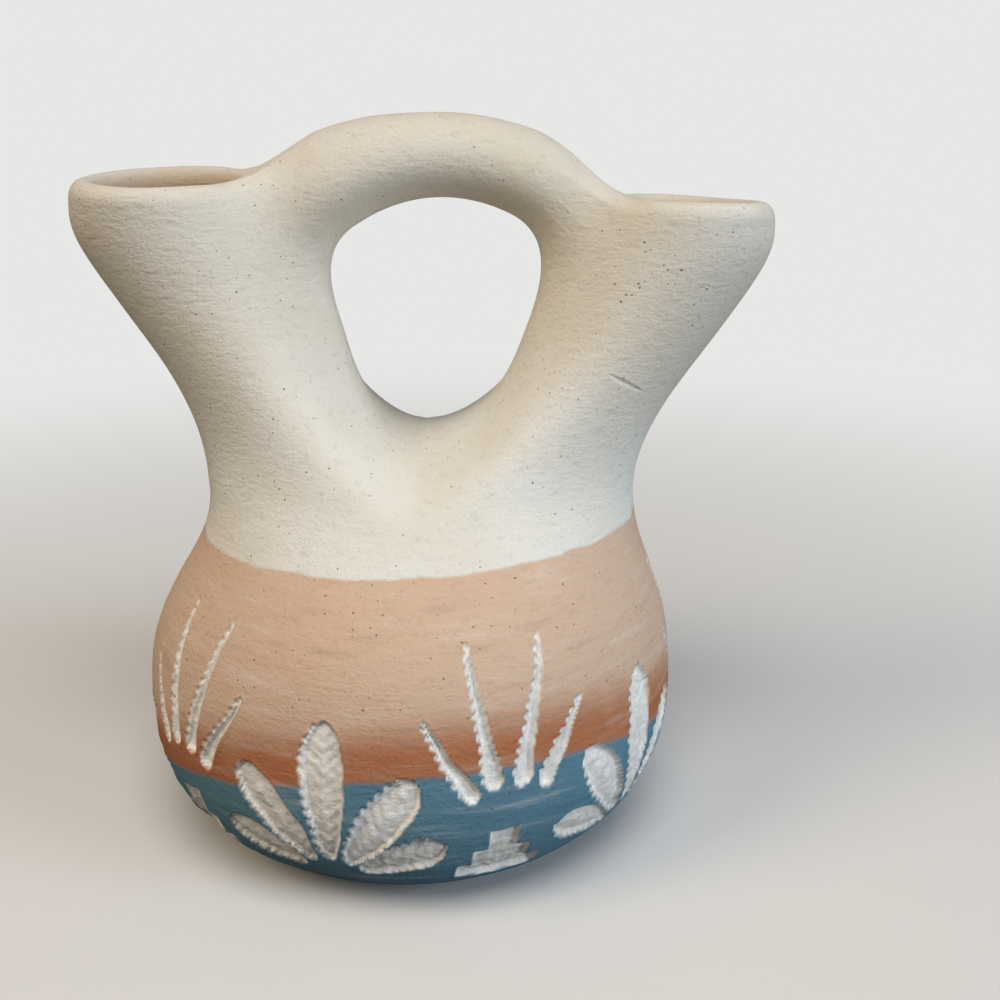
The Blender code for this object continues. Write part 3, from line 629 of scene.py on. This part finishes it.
def frieze_cuts():
    """The cuts of one repeat: a fan of feathers, and half a hill with its rays at either end."""
    cuts = []
    fan_hub = np.array([0.0, FAN_HUB_LEVEL])
    for angle in FEATHER_ANGLES:
        length = FEATHER_LENGTH * (1.0 - FEATHER_SHORTENING * abs(angle))
        cuts.append((feather_cut, blade_line(fan_hub, angle, FEATHER_START, length, FEATHER_BEND)))
    for end in (-FAN_WIDTH / 2, FAN_WIDTH / 2):
        hill_foot = np.array([end, HILL_LEVEL])
        cuts.append((hill_cut, blade_line(hill_foot, 0.0, 0.0, len(HILL_HALF_WIDTHS) * HILL_STEP, 0.0)))
        ray_hub = np.array([end, RAY_HUB_LEVEL])
        for angle in RAY_ANGLES:
            length = RAY_LENGTH * math.cos(angle)**2
            cuts.append((ray_cut, blade_line(ray_hub, angle, RAY_START, length, 0.0)))
    return cuts


def wobble(points):
    """Unsteady hand: a slow drift of the drawing, in x and y."""
    spots = [Vector(point) for point in points.reshape(-1, 3) / WOBBLE_SIZE]
    drift = np.array([(noise.noise(spot), noise.noise(spot + WOBBLE_SHIFT)) for spot in spots])
    return WOBBLE * drift


def carve(turn, wall_lengths, places):
    """Depth of the cuts, share of slip taken off and height of burrs, by wall length and turn."""
    girth = (turn - FIRST_FAN_TURN) * BELLY_RADIUS
    unrolled = (girth + FAN_WIDTH / 2) % FAN_WIDTH - FAN_WIDTH / 2
    x, y = np.meshgrid(unrolled, wall_lengths)
    points = np.stack([x.ravel(), y.ravel()], axis=1) + wobble(places)
    depth = np.zeros(len(points))
    bare = np.zeros(len(points))
    burr = np.zeros(len(points))
    reach = HILL_HALF_WIDTHS[0] + NICK_REACH + BURR_WIDTH
    for kind, line in frieze_cuts():
        near = np.all((points > line.min(axis=0) - reach) & (points < line.max(axis=0) + reach), axis=1)
        inside, floor, nicked = kind(line, points[near])
        cut = np.maximum(floor * ease(inside / CUT_SLOPE), NICK_DEPTH * nicked)
        depth[near] = np.maximum(depth[near], cut)
        chipped = np.maximum(ease(inside / EDGE_CHIP + EDGE_CHIP_SHIFT), nicked)
        bare[near] = np.maximum(bare[near], chipped)
        raised = BURR * ease(1.0 - np.abs(inside + BURR_WIDTH) / BURR_WIDTH)
        burr[near] = np.maximum(burr[near], raised)
    burr *= 1.0 - ease(depth / BURR_GONE_DEPTH)
    return depth.reshape(x.shape), bare.reshape(x.shape), burr.reshape(x.shape)


def gouge_noise(shape):
    """Rough floor of the cuts: seeded noise, blurred a little."""
    grain = np.random.default_rng(GOUGE_SEED).normal(size=shape)
    for _ in range(GOUGE_BLUR):
        grain = (grain + np.roll(grain, 1, axis=1) + np.roll(grain, -1, axis=1)
                 + np.roll(grain, 1, axis=0) + np.roll(grain, -1, axis=0)) / 5.0
    return grain / grain.std()


class Body:
    """The whole outside from foot to waist as one fine grid, shared out among the courses."""

    def __init__(self):
        self.turn = turns(BODY_AROUND)
        tops = (BASE_THICKNESS, LOWER_COURSE_TOP, BELLY_COURSE_TOP)
        self.cuts = [0.0, *(span_at(top) for top in tops), 2.0]
        self.spans, self.borders = self.share_rows()
        self.plain = body_rings(self.spans, self.turn)
        self.plain_normals = body_normals(self.spans, self.turn)
        depth, self.bare, burr = carve(self.turn, self.wall_lengths(), self.plain)
        rough = GOUGE_NOISE * gouge_noise(depth.shape) * ease(depth / GOUGE_NOISE_DEPTH)
        lift = (burr - depth + rough)[..., None] + swell(self.plain)
        self.outer = self.plain + lift * self.plain_normals
        self.outer[0, :, 2] = 0.0
        self.outer[..., 2] = np.maximum(self.outer[..., 2], 0.0)
        self.normals = grid_normals(self.outer)
        self.normals[-1] = self.plain_normals[-1]

    def share_rows(self):
        """Span values of all rows, and the row at which each course ends."""
        spans = [0.0]
        borders = [0]
        for low, high in zip(self.cuts[:-1], self.cuts[1:]):
            length = np.ptp(self.lengths_at(np.array([low, high])))
            count = max(FEWEST_ROWS, int(length / MM * ROWS_PER_MM))
            spans += list(np.linspace(low, high, count + 1)[1:])
            borders.append(len(spans) - 1)
        return np.array(spans), borders

    def lengths_at(self, spans):
        """Length up the side wall from the foot's edge."""
        fine = np.linspace(0.0, 2.0, PROFILE_POINTS)
        return np.interp(spans, fine, distances(body_profile(fine)[:, [0, 3]]))

    def wall_lengths(self):
        return self.lengths_at(self.spans) - self.lengths_at(np.array([1.0]))[0]

    def course(self, number):
        """Rows of one course, with both of its border rows."""
        return slice(self.borders[number], self.borders[number + 1] + 1)


def course_piece(body, number, node, material):
    """One course of the wall: carved outside, plain inside. The lowest stands on the base."""
    rows = body.course(number)
    outer = body.outer[rows]
    few = np.linspace(len(outer) - 1, 0, INNER_ROWS).astype(int)
    inner = (body.plain[rows] - WALL * body.plain_normals[rows])[few]
    if node == "lower_bowl":
        inner[-1, :, 2] = np.maximum(inner[-1, :, 2], BASE_THICKNESS)
        foot = inner[-1:].copy()
        foot[..., 2] = BASE_THICKNESS
        inner = np.concatenate([inner, foot])
        few = np.append(few, 0)
    points = np.concatenate([outer, inner])
    normals = np.concatenate([body.normals[rows], -body.plain_normals[rows][few]])
    piece = ring_piece(node + "_skin", points, normals, material)
    bare = np.concatenate([body.bare[rows], np.ones(inner.shape[:2])])
    paint_float(piece, "bare", bare.ravel())
    stand_for(piece, node)


def base_piece(body, material):
    """Slab base, with its edge on the body's outside and a flat top inside."""
    rows = body.course(0)
    outer = body.outer[rows]
    draw_in = np.array([BASE_RING_SHARE, BASE_RING_SHARE, 1.0])
    top = outer[-1] * draw_in
    foot = outer[0] * draw_in
    points = np.concatenate([foot[None], outer, top[None]])
    down = np.zeros_like(foot) - [0.0, 0.0, 1.0]
    normals = np.concatenate([down[None], body.normals[rows], -down[None]])
    normals[1] = unit(normals[1] + down)
    piece = bar_piece("base_disc_skin", points, normals, material)
    bare = np.ones(points.shape[:2])
    bare[1:-1] = body.bare[rows]
    paint_float(piece, "bare", np.concatenate([bare.ravel(), [1.0, 1.0]]))
    stand_for(piece, "base_disc")


def base_coil_piece(material):
    """Coil smeared into the corner inside the base, thinning up the wall."""
    turn = turns(COIL_AROUND)
    spans = np.linspace(span_at(BASE_THICKNESS), span_at(LOWER_COURSE_TOP), COIL_ROWS)
    inside = body_rings(spans, turn[:1])[:, 0] - WALL * body_normals(spans, turn[:1])[:, 0]
    foot = inside[0, 2]
    top = foot + BASE_COIL_LAP
    levels = np.concatenate([[BASE_THICKNESS], np.linspace(foot, top, COIL_ROWS)])
    wall = np.interp(levels, inside[:, 2], inside[:, 0])
    thickness = COIL_EDGE + (BASE_COIL - COIL_EDGE) * ((top - levels) / (top - BASE_THICKNESS))**2
    radii = np.concatenate([wall, (wall - thickness)[::-1]])
    heights = np.concatenate([levels, levels[::-1]])
    rows = np.array([np.stack([r * np.cos(turn), r * np.sin(turn), np.full(len(turn), z)], axis=-1)
                     for r, z in zip(radii, heights)])
    inward = np.stack([-np.cos(turn), -np.sin(turn), np.ones(len(turn))], axis=-1)
    facing = np.where(np.arange(len(rows)) < len(levels), -1.0, 1.0)[:, None, None]
    piece = ring_piece("base_seam_coil_skin", rows, facing * unit(inward), material)
    stand_for(piece, "base_seam_coil")


# Spouts and rims

def spout_piece(spout, node, material):
    outside = spout.place(spout.skin)
    normals = spout.turn_normals(spout.normals)
    outside = outside + swell(outside) * normals
    bore = spout.place(spout.bore)[::-BORE_EVERY]
    points = np.concatenate([outside, bore])
    directions = np.concatenate([normals, -normals[::-BORE_EVERY]])
    piece = ring_piece(node + "_skin", points, directions, material, flip=spout.side < 0)
    # Marks the bore for its painted shade
    inside = np.concatenate([np.zeros(outside.shape[:2]), np.ones(bore.shape[:2])])
    paint_float(piece, "inside", inside.ravel())
    stand_for(piece, node)


def rim_piece(spout, node, material):
    rows = spout.place(spout.lip)
    normals = grid_normals(rows) * spout.side
    normals[0] = spout.turn_normals(spout.normals[-1])
    rows = rows + swell(rows) * normals
    piece = ring_piece(node + "_skin", rows, normals, material, flip=spout.side < 0)
    # From the lip's crest inward the rim takes the bore's painted shade
    over_crest = ease(2.0 * np.linspace(0.0, 1.0, LIP_ROWS) - 1.0)[:, None]
    paint_float(piece, "inside", np.broadcast_to(over_crest, rows.shape[:2]).ravel())
    stand_for(piece, node)


def spout_tree(spout):
    """Search tree of the outside of a spout and its rim, to a little past the crest of the lip."""
    rows = spout.place(np.concatenate([spout.skin, spout.lip[1:LIP_TREE_ROWS]]))
    count, columns = rows.shape[:2]
    faces = grid_quads(count, columns, False, spout.side < 0)
    return BVHTree.FromPolygons(rows.reshape(-1, 3).tolist(), faces)


# Handle and the clay worked in round its feet

def set_down(tree, points):
    """Nearest spots of a skin, with its normals there."""
    hits = [tree.find_nearest(Vector(point)) for point in points]
    return np.array([hit[0] for hit in hits]), np.array([hit[1] for hit in hits])


def across(vectors, normals):
    """Vectors without their share along the normals."""
    return vectors - normals * (vectors * normals).sum(axis=1, keepdims=True)


class Handle:
    def __init__(self, left, right):
        self.trees = (spout_tree(left), spout_tree(right))
        start = self.foot(left, LEFT_HANDLE_FOOT_SHARE)
        end = self.foot(right, RIGHT_HANDLE_FOOT_SHARE)
        rise = np.array([math.cos(LEFT_HANDLE_ANGLE), 0.0, math.sin(LEFT_HANDLE_ANGLE)])
        fall = np.array([-math.cos(RIGHT_HANDLE_ANGLE), 0.0, math.sin(RIGHT_HANDLE_ANGLE)])
        self.control = (start, start + LEFT_HANDLE_PULL * rise, end + RIGHT_HANDLE_PULL * fall, end)
        self.sweep = turns(HANDLE_AROUND)

    def foot(self, spout, share):
        """Point on a spout's inner line, at a share of the way from root to mouth."""
        skin = spout.place(spout.skin)[:, NET_AROUND * FINER // 2]
        levels = np.linspace(0.0, 1.0, len(skin))
        return np.array([np.interp(share, levels, skin[:, k]) for k in range(3)])

    def axis(self, share):
        return bezier(*self.control, share)

    def heading(self, share):
        return unit(self.axis(share + SLOPE_STEP) - self.axis(share - SLOPE_STEP))

    def ring(self, share):
        """Section square to the axis, swelling towards the feet, and higher at the left."""
        swelling = HANDLE_END_SWELL * np.abs(2.0 * share - 1.0)**3
        along = self.heading(share)
        up = np.array([-along[2], 0.0, along[0]])
        crown = HANDLE_LEFT_CROWN * ease(1.0 - 2.0 * share) * np.maximum(0.0, np.sin(self.sweep))
        high = ((HANDLE_HALF_HEIGHT + swelling + crown) * np.sin(self.sweep))[:, None] * up
        deep = (HANDLE_HALF_DEPTH + swelling) * np.cos(self.sweep)[:, None] * np.array([0.0, 1.0, 0.0])
        return self.axis(share) + high + deep

    def spring(self, end):
        """Share of the axis at which the bar leaves the clay worked in round its foot."""
        shares = np.linspace(0.0, 1.0, AXIS_POINTS)
        lengths = distances(self.axis(shares))
        reach = LEFT_HANDLE_SPRING if end == 0 else lengths[-1] - RIGHT_HANDLE_SPRING
        return float(np.interp(reach, lengths, shares))

    def landing(self, end):
        """Where the worked-in clay runs out on the spout, its direction there and the skin's normal."""
        share = self.spring(end)
        ring = self.ring(share)
        target = self.control[0] if end == 0 else self.control[3]
        way = (target - self.axis(share)) * LANDING_SHARE
        outward = unit(ring - ring.mean(axis=0))
        level = np.sin(self.sweep)[:, None]
        farthest = np.where(level < 0.0, FILLET_UNDER_REACH, FILLET_TOP_REACH)
        reach = FILLET_REACH + (farthest - FILLET_REACH) * level**2
        spots, normals = set_down(self.trees[end], ring + way)
        for _ in range(FILLET_STEPS):
            slides = unit(across(outward, normals))
            spots, normals = set_down(self.trees[end], spots + slides * reach / FILLET_STEPS)
        for _ in range(TOE_SMOOTHING):
            between = (np.roll(spots, 1, axis=0) + 2.0 * spots + np.roll(spots, -1, axis=0)) / 4.0
            spots, normals = set_down(self.trees[end], between)
        return spots, unit(across(spots - ring, normals)), normals


def handle_piece(handle, material):
    shares = np.linspace(handle.spring(0), handle.spring(1), HANDLE_ROWS)
    rows = np.array([handle.ring(share) for share in shares])
    normals = grid_normals(rows)
    rows = rows + swell(rows) * normals
    piece = bar_piece("bridge_handle_skin", rows, normals, material)
    stand_for(piece, "bridge_handle")
    return rows, normals


def fillet_piece(handle, end, node, rim, rim_normals, material):
    """Clay drawn from the handle's side out over the spout, smooth with both."""
    spots, slides, spot_normals = handle.landing(end)
    facing = -1.0 if end == 0 else 1.0
    heading = facing * handle.heading(handle.spring(end))
    pull = FILLET_PULL * np.linalg.norm(spots - rim, axis=1)[:, None]
    rows = bezier_rows((rim, rim + pull * heading, spots - pull * slides, spots), FILLET_ROWS)
    normals = facing * grid_normals(rows)
    normals[0] = rim_normals
    normals[-1] = spot_normals
    points = np.concatenate([rows, (rows - FILLET_SKIN * normals)[::-1]])
    directions = np.concatenate([normals, -normals[::-1]])
    piece = ring_piece(node + "_skin", points, directions, material, flip=end == 0)
    stand_for(piece, node)


# Materials

class Nodes:
    """Short calls for building a node tree."""

    def __init__(self, name):
        self.material = bpy.data.materials.new(name)
        self.material.use_nodes = True
        self.tree = self.material.node_tree
        self.shader = self.tree.nodes["Principled BSDF"]

    def add(self, kind, **values):
        node = self.tree.nodes.new(kind)
        for key, value in values.items():
            setattr(node, key, value)
        return node

    def put(self, socket, value):
        if isinstance(value, bpy.types.NodeSocket):
            self.tree.links.new(value, socket)
        else:
            socket.default_value = value

    def math(self, operation, first, second=0.0):
        node = self.add("ShaderNodeMath", operation=operation)
        self.put(node.inputs[0], first)
        self.put(node.inputs[1], second)
        return node.outputs[0]

    def vector(self, operation, first, second, output="Vector"):
        node = self.add("ShaderNodeVectorMath", operation=operation)
        self.put(node.inputs[0], first)
        self.put(node.inputs[1], second)
        return node.outputs[output]

    def split(self, place):
        node = self.add("ShaderNodeSeparateXYZ")
        self.put(node.inputs[0], place)
        return node.outputs

    def step(self, value, low, high):
        """Smooth step from 0 at low to 1 at high."""
        node = self.add("ShaderNodeMapRange", interpolation_type="SMOOTHSTEP")
        self.put(node.inputs["Value"], value)
        node.inputs["From Min"].default_value = low
        node.inputs["From Max"].default_value = high
        return node.outputs["Result"]

    def mix(self, share, first, second, blend="MIX"):
        """Mix of two colours: inputs 6 and 7 and output 2 are the colour sockets."""
        node = self.add("ShaderNodeMix", data_type="RGBA", blend_type=blend)
        self.put(node.inputs[0], share)
        self.put(node.inputs[6], (*first, 1.0) if isinstance(first, tuple) else first)
        self.put(node.inputs[7], (*second, 1.0) if isinstance(second, tuple) else second)
        return node.outputs[2]

    def noise(self, place, scale, detail=2.0, roughness=0.5):
        node = self.add("ShaderNodeTexNoise")
        self.put(node.inputs["Vector"], place)
        node.inputs["Scale"].default_value = scale
        node.inputs["Detail"].default_value = detail
        node.inputs["Roughness"].default_value = roughness
        return node.outputs["Fac"]

    def stretch(self, place, scale):
        node = self.add("ShaderNodeMapping")
        self.put(node.inputs["Vector"], place)
        node.inputs["Scale"].default_value = scale
        return node.outputs["Vector"]

    def bump(self, height, distance, strength, below=None):
        node = self.add("ShaderNodeBump")
        self.put(node.inputs["Height"], height)
        node.inputs["Distance"].default_value = distance
        node.inputs["Strength"].default_value = strength
        if below is not None:
            self.put(node.inputs["Normal"], below)
        return node.outputs["Normal"]


def slanted_height(nodes, place, slant, wander):
    """Height above a slanted line, with a hand-painted waver."""
    x, y, z = nodes.split(place)
    tilt_x = nodes.math("MULTIPLY", x, slant[0])
    tilt_y = nodes.math("MULTIPLY", y, slant[1])
    height = nodes.math("ADD", z, nodes.math("ADD", tilt_x, tilt_y))
    waver = nodes.math("MULTIPLY", nodes.math("SUBTRACT", wander, 0.5), EDGE_WANDER)
    return nodes.math("ADD", height, waver)


def clay_colour(nodes, place):
    """Bare clay with painted light and shade: paler by the waist, darker and warmer higher up, with warm
    and cool clouds.
    """
    # Painted shade: the clay darkens and warms with height
    upper_shade = nodes.step(nodes.split(place)["Z"], UPPER_SHADE_FROM, UPPER_SHADE_FULL)
    clay = nodes.mix(upper_shade, BARE_CLAY, UPPER_SHADE_CLAY)
    cloud = nodes.step(nodes.noise(place, **CLOUDS), *CLOUD_RANGE)
    return nodes.mix(1.0, clay, nodes.mix(cloud, CLOUD_WARM, CLOUD_COOL), "MULTIPLY")


def add_specks(nodes, place, colour):
    """Small dark grits, scattered, and closer together in some spots."""
    grits = nodes.add("ShaderNodeTexVoronoi")
    nodes.put(grits.inputs["Vector"], place)
    grits.inputs["Scale"].default_value = 1.0 / SPECK_STEP
    draw = nodes.add("ShaderNodeSeparateColor")
    nodes.put(draw.inputs[0], grits.outputs["Color"])
    crowd = nodes.step(nodes.noise(place, **SPECK_CROWDS), *SPECK_CROWD_RANGE)
    chance = nodes.math("ADD", SPECK_CHANCE, nodes.math("MULTIPLY", crowd, SPECK_CROWD_CHANCE))
    drawn = nodes.math("LESS_THAN", draw.outputs[0], chance)
    size = nodes.math("ADD", SPECK_LEAST, nodes.math("MULTIPLY", draw.outputs[1], SPECK_SPREAD))
    spot = nodes.math("MULTIPLY", nodes.math("LESS_THAN", grits.outputs["Distance"], size), drawn)
    return nodes.mix(nodes.math("MULTIPLY", spot, SPECK_SHARE), colour, SPECK)


def scratch(nodes, place):
    """Clay left standing at a short scratch, drawn from the front: 0 along its line, 1 away from it."""
    way = np.subtract(SCRATCH_END, SCRATCH_START)
    behind = nodes.step(nodes.split(place)["Y"], SCRATCH_BACK, 0.0)
    from_start = nodes.vector("SUBTRACT", nodes.stretch(place, (1.0, 0.0, 1.0)), SCRATCH_START)
    along = nodes.vector("DOT_PRODUCT", from_start, tuple(way / np.dot(way, way)), "Value")
    along = nodes.math("MINIMUM", nodes.math("MAXIMUM", along, 0.0), 1.0)
    line = nodes.add("ShaderNodeCombineXYZ")
    for socket, size in zip(line.inputs, way):
        nodes.put(socket, nodes.math("MULTIPLY", along, float(size)))
    aside = nodes.vector("DISTANCE", from_start, line.outputs[0], "Value")
    doubled = nodes.math("MULTIPLY", along, 2.0)
    from_middle = nodes.math("ABSOLUTE", nodes.math("SUBTRACT", doubled, 1.0))
    thinning = nodes.math("MULTIPLY", nodes.math("POWER", from_middle, 3.0), SCRATCH_HALF_WIDTH)
    clear = nodes.step(nodes.math("ADD", aside, thinning), 0.0, SCRATCH_HALF_WIDTH)
    return nodes.math("MAXIMUM", clear, behind)


def finish_clay(nodes, place, colour, dented=None):
    """Matt shader with gritty bumps and the level marks of sanding."""
    grit = nodes.noise(place, **GRIT)
    marks = nodes.noise(nodes.stretch(place, SANDING_STRETCH), **SANDING)
    shade = nodes.math("MULTIPLY", nodes.math("ADD", grit, marks), 0.5)
    colour = nodes.mix(nodes.step(shade, *SHADE_RANGE), colour, nodes.mix(SHADE_SHARE, colour, SPECK))
    nodes.put(nodes.shader.inputs["Base Color"], colour)
    rough = nodes.add("ShaderNodeMapRange")
    nodes.put(rough.inputs["Value"], grit)
    rough.inputs["To Min"].default_value = ROUGHNESS[0]
    rough.inputs["To Max"].default_value = ROUGHNESS[1]
    nodes.put(nodes.shader.inputs["Roughness"], rough.outputs["Result"])
    nodes.shader.inputs["Specular IOR Level"].default_value = SPECULAR
    dents = None if dented is None else nodes.bump(dented, SCRATCH_DEPTH, 1.0)
    grain = nodes.bump(grit, BUMP_DEPTH, GRIT_BUMP, dents)
    nodes.put(nodes.shader.inputs["Normal"], nodes.bump(marks, BUMP_DEPTH, SANDING_BUMP, grain))
    return nodes.material


def object_place(nodes):
    return nodes.add("ShaderNodeTexCoord").outputs["Object"]


def bare_clay_material():
    nodes = Nodes("bare_clay")
    place = object_place(nodes)
    inside = nodes.add("ShaderNodeAttribute", attribute_name="inside").outputs["Fac"]
    # Painted shade: the bore and the lip's inner side are mixed to darker clay
    colour = nodes.mix(inside, clay_colour(nodes, place), BORE_SHADE_CLAY)
    return finish_clay(nodes, place, add_specks(nodes, place, colour), scratch(nodes, place))


def painted_clay_material():
    """Slips on clay: blue, rust fading up into tan, bare clay above, and cut clay in the carving."""
    nodes = Nodes("painted_clay")
    place = object_place(nodes)
    wander = nodes.noise(place, **EDGE_WAVER)
    above_blue = slanted_height(nodes, place, BLUE_SLANT, wander)
    above_tan = slanted_height(nodes, place, TAN_SLANT, wander)
    streaks = nodes.noise(nodes.stretch(place, STREAK_STRETCH), **STREAKS)
    patches = nodes.noise(place, **RUST_PATCHES)
    rust_share = nodes.step(above_blue, BLUE_LINE + RUST_FADE, BLUE_LINE + RUST_FULL)
    rust_share = nodes.math("MULTIPLY", rust_share, nodes.step(patches, *RUST_PATCH_RANGE))
    slip = nodes.mix(rust_share, TAN_SLIP, RUST_SLIP)
    blue_share = nodes.step(above_blue, BLUE_LINE + BLUE_EDGE, BLUE_LINE - BLUE_EDGE)
    slip = nodes.mix(blue_share, slip, BLUE_SLIP)
    thin = nodes.math("MULTIPLY", nodes.step(streaks, *THIN_RANGE), THIN_SHARE)
    slip = nodes.mix(thin, slip, BARE_CLAY)
    deep = nodes.math("MULTIPLY", nodes.step(streaks, *DEEP_RANGE), DEEP_SHARE)
    slip = nodes.mix(deep, slip, (0.0, 0.0, 0.0))
    bare_share = nodes.step(above_tan, TAN_LINE - TAN_EDGE, TAN_LINE + TAN_EDGE)
    slip = nodes.mix(bare_share, slip, clay_colour(nodes, place))
    slip = add_specks(nodes, place, slip)
    cut_share = nodes.add("ShaderNodeAttribute", attribute_name="bare").outputs["Fac"]
    dusty = nodes.step(nodes.noise(place, **DUST), *DUST_RANGE)
    dust = nodes.mix(dusty, tuple(channel * DUST_SHADE for channel in CUT_CLAY), CUT_CLAY)
    return finish_clay(nodes, place, nodes.mix(cut_share, slip, dust))


def floor_material():
    """Pale floor that runs into the backdrop where it is seen far from the vase."""
    nodes = Nodes("studio_floor")
    seen = nodes.add("ShaderNodeLightPath").outputs["Is Camera Ray"]
    nodes.put(nodes.shader.inputs["Base Color"], nodes.mix(seen, FLOOR_BOUNCE, FLOOR))
    nodes.shader.inputs["Roughness"].default_value = FLOOR_ROUGHNESS
    distance = nodes.add("ShaderNodeVectorMath", operation="LENGTH")
    nodes.put(distance.inputs[0], object_place(nodes))
    far = nodes.step(distance.outputs["Value"], FLOOR_NEAR, FLOOR_FAR)
    backdrop = nodes.add("ShaderNodeEmission")
    backdrop.inputs["Color"].default_value = (*BACKDROP, 1.0)
    blend = nodes.add("ShaderNodeMixShader")
    nodes.put(blend.inputs[0], nodes.math("MULTIPLY", far, seen))
    nodes.put(blend.inputs[1], nodes.shader.outputs[0])
    nodes.put(blend.inputs[2], backdrop.outputs[0])
    nodes.put(nodes.tree.nodes["Material Output"].inputs["Surface"], blend.outputs[0])
    return nodes.material


# Studio

def add_floor():
    turn = turns(FLOOR_SIDES)
    ring = FLOOR_RADIUS * np.stack([np.cos(turn), np.sin(turn), 0.0 * turn], axis=-1)
    up = np.zeros_like(ring) + [0.0, 0.0, 1.0]
    floor = add_mesh("studio_floor", ring, [list(range(FLOOR_SIDES))], up, floor_material())


def add_light(name, place, size, power, colour):
    light = bpy.data.lights.new(name, "AREA")
    light.shape = "DISK"
    light.size = size
    light.energy = power
    light.color = colour
    lamp = add_object(name, light)
    lamp.location = place
    aim = Vector(LAMP_AIM) - Vector(place)
    lamp.rotation_euler = aim.to_track_quat("-Z", "Y").to_euler()


def add_world():
    """Soft light from all round, and a plain backdrop where the camera sees it."""
    world = bpy.data.worlds.new("studio")
    world.use_nodes = True
    tree = world.node_tree
    light = tree.nodes["Background"]
    light.inputs["Color"].default_value = (*AMBIENT, 1.0)
    light.inputs["Strength"].default_value = AMBIENT_STRENGTH
    backdrop = tree.nodes.new("ShaderNodeBackground")
    backdrop.inputs["Color"].default_value = (*BACKDROP, 1.0)
    path = tree.nodes.new("ShaderNodeLightPath")
    blend = tree.nodes.new("ShaderNodeMixShader")
    tree.links.new(path.outputs["Is Camera Ray"], blend.inputs[0])
    tree.links.new(light.outputs[0], blend.inputs[1])
    tree.links.new(backdrop.outputs[0], blend.inputs[2])
    tree.links.new(blend.outputs[0], tree.nodes["World Output"].inputs["Surface"])
    bpy.context.scene.world = world


def add_studio():
    add_floor()
    for name, values in LAMPS.items():
        add_light(name, *values)
    add_world()
    bpy.context.scene.view_settings.view_transform = "Standard"


def add_camera():
    camera = bpy.data.cameras.new("camera")
    camera.lens = CAMERA_LENS
    camera.sensor_width = CAMERA_SENSOR
    camera.clip_start = CAMERA_NEAR
    eye = add_object("camera", camera)
    eye.location = CAMERA_PLACE
    eye.rotation_euler = (math.pi / 2 - CAMERA_PITCH, 0.0, 0.0)
    bpy.context.scene.camera = eye


def main():
    painted = painted_clay_material()
    bare = bare_clay_material()
    body = Body()
    base_piece(body, painted)
    course_piece(body, 1, "lower_bowl", painted)
    course_piece(body, 2, "belly_course", painted)
    course_piece(body, 3, "shoulder_course", painted)
    base_coil_piece(bare)
    left = Spout(**LEFT_SPOUT)
    right = Spout(**RIGHT_SPOUT)
    for spout, side in ((left, "left"), (right, "right")):
        spout_piece(spout, side + "_spout", bare)
        rim_piece(spout, side + "_rim_coil", bare)
    handle = Handle(left, right)
    rows, normals = handle_piece(handle, bare)
    fillet_piece(handle, 0, "left_handle_fillet", rows[0], normals[0], bare)
    fillet_piece(handle, 1, "right_handle_fillet", rows[-1], normals[-1], bare)
    add_studio()
    add_camera()


main()
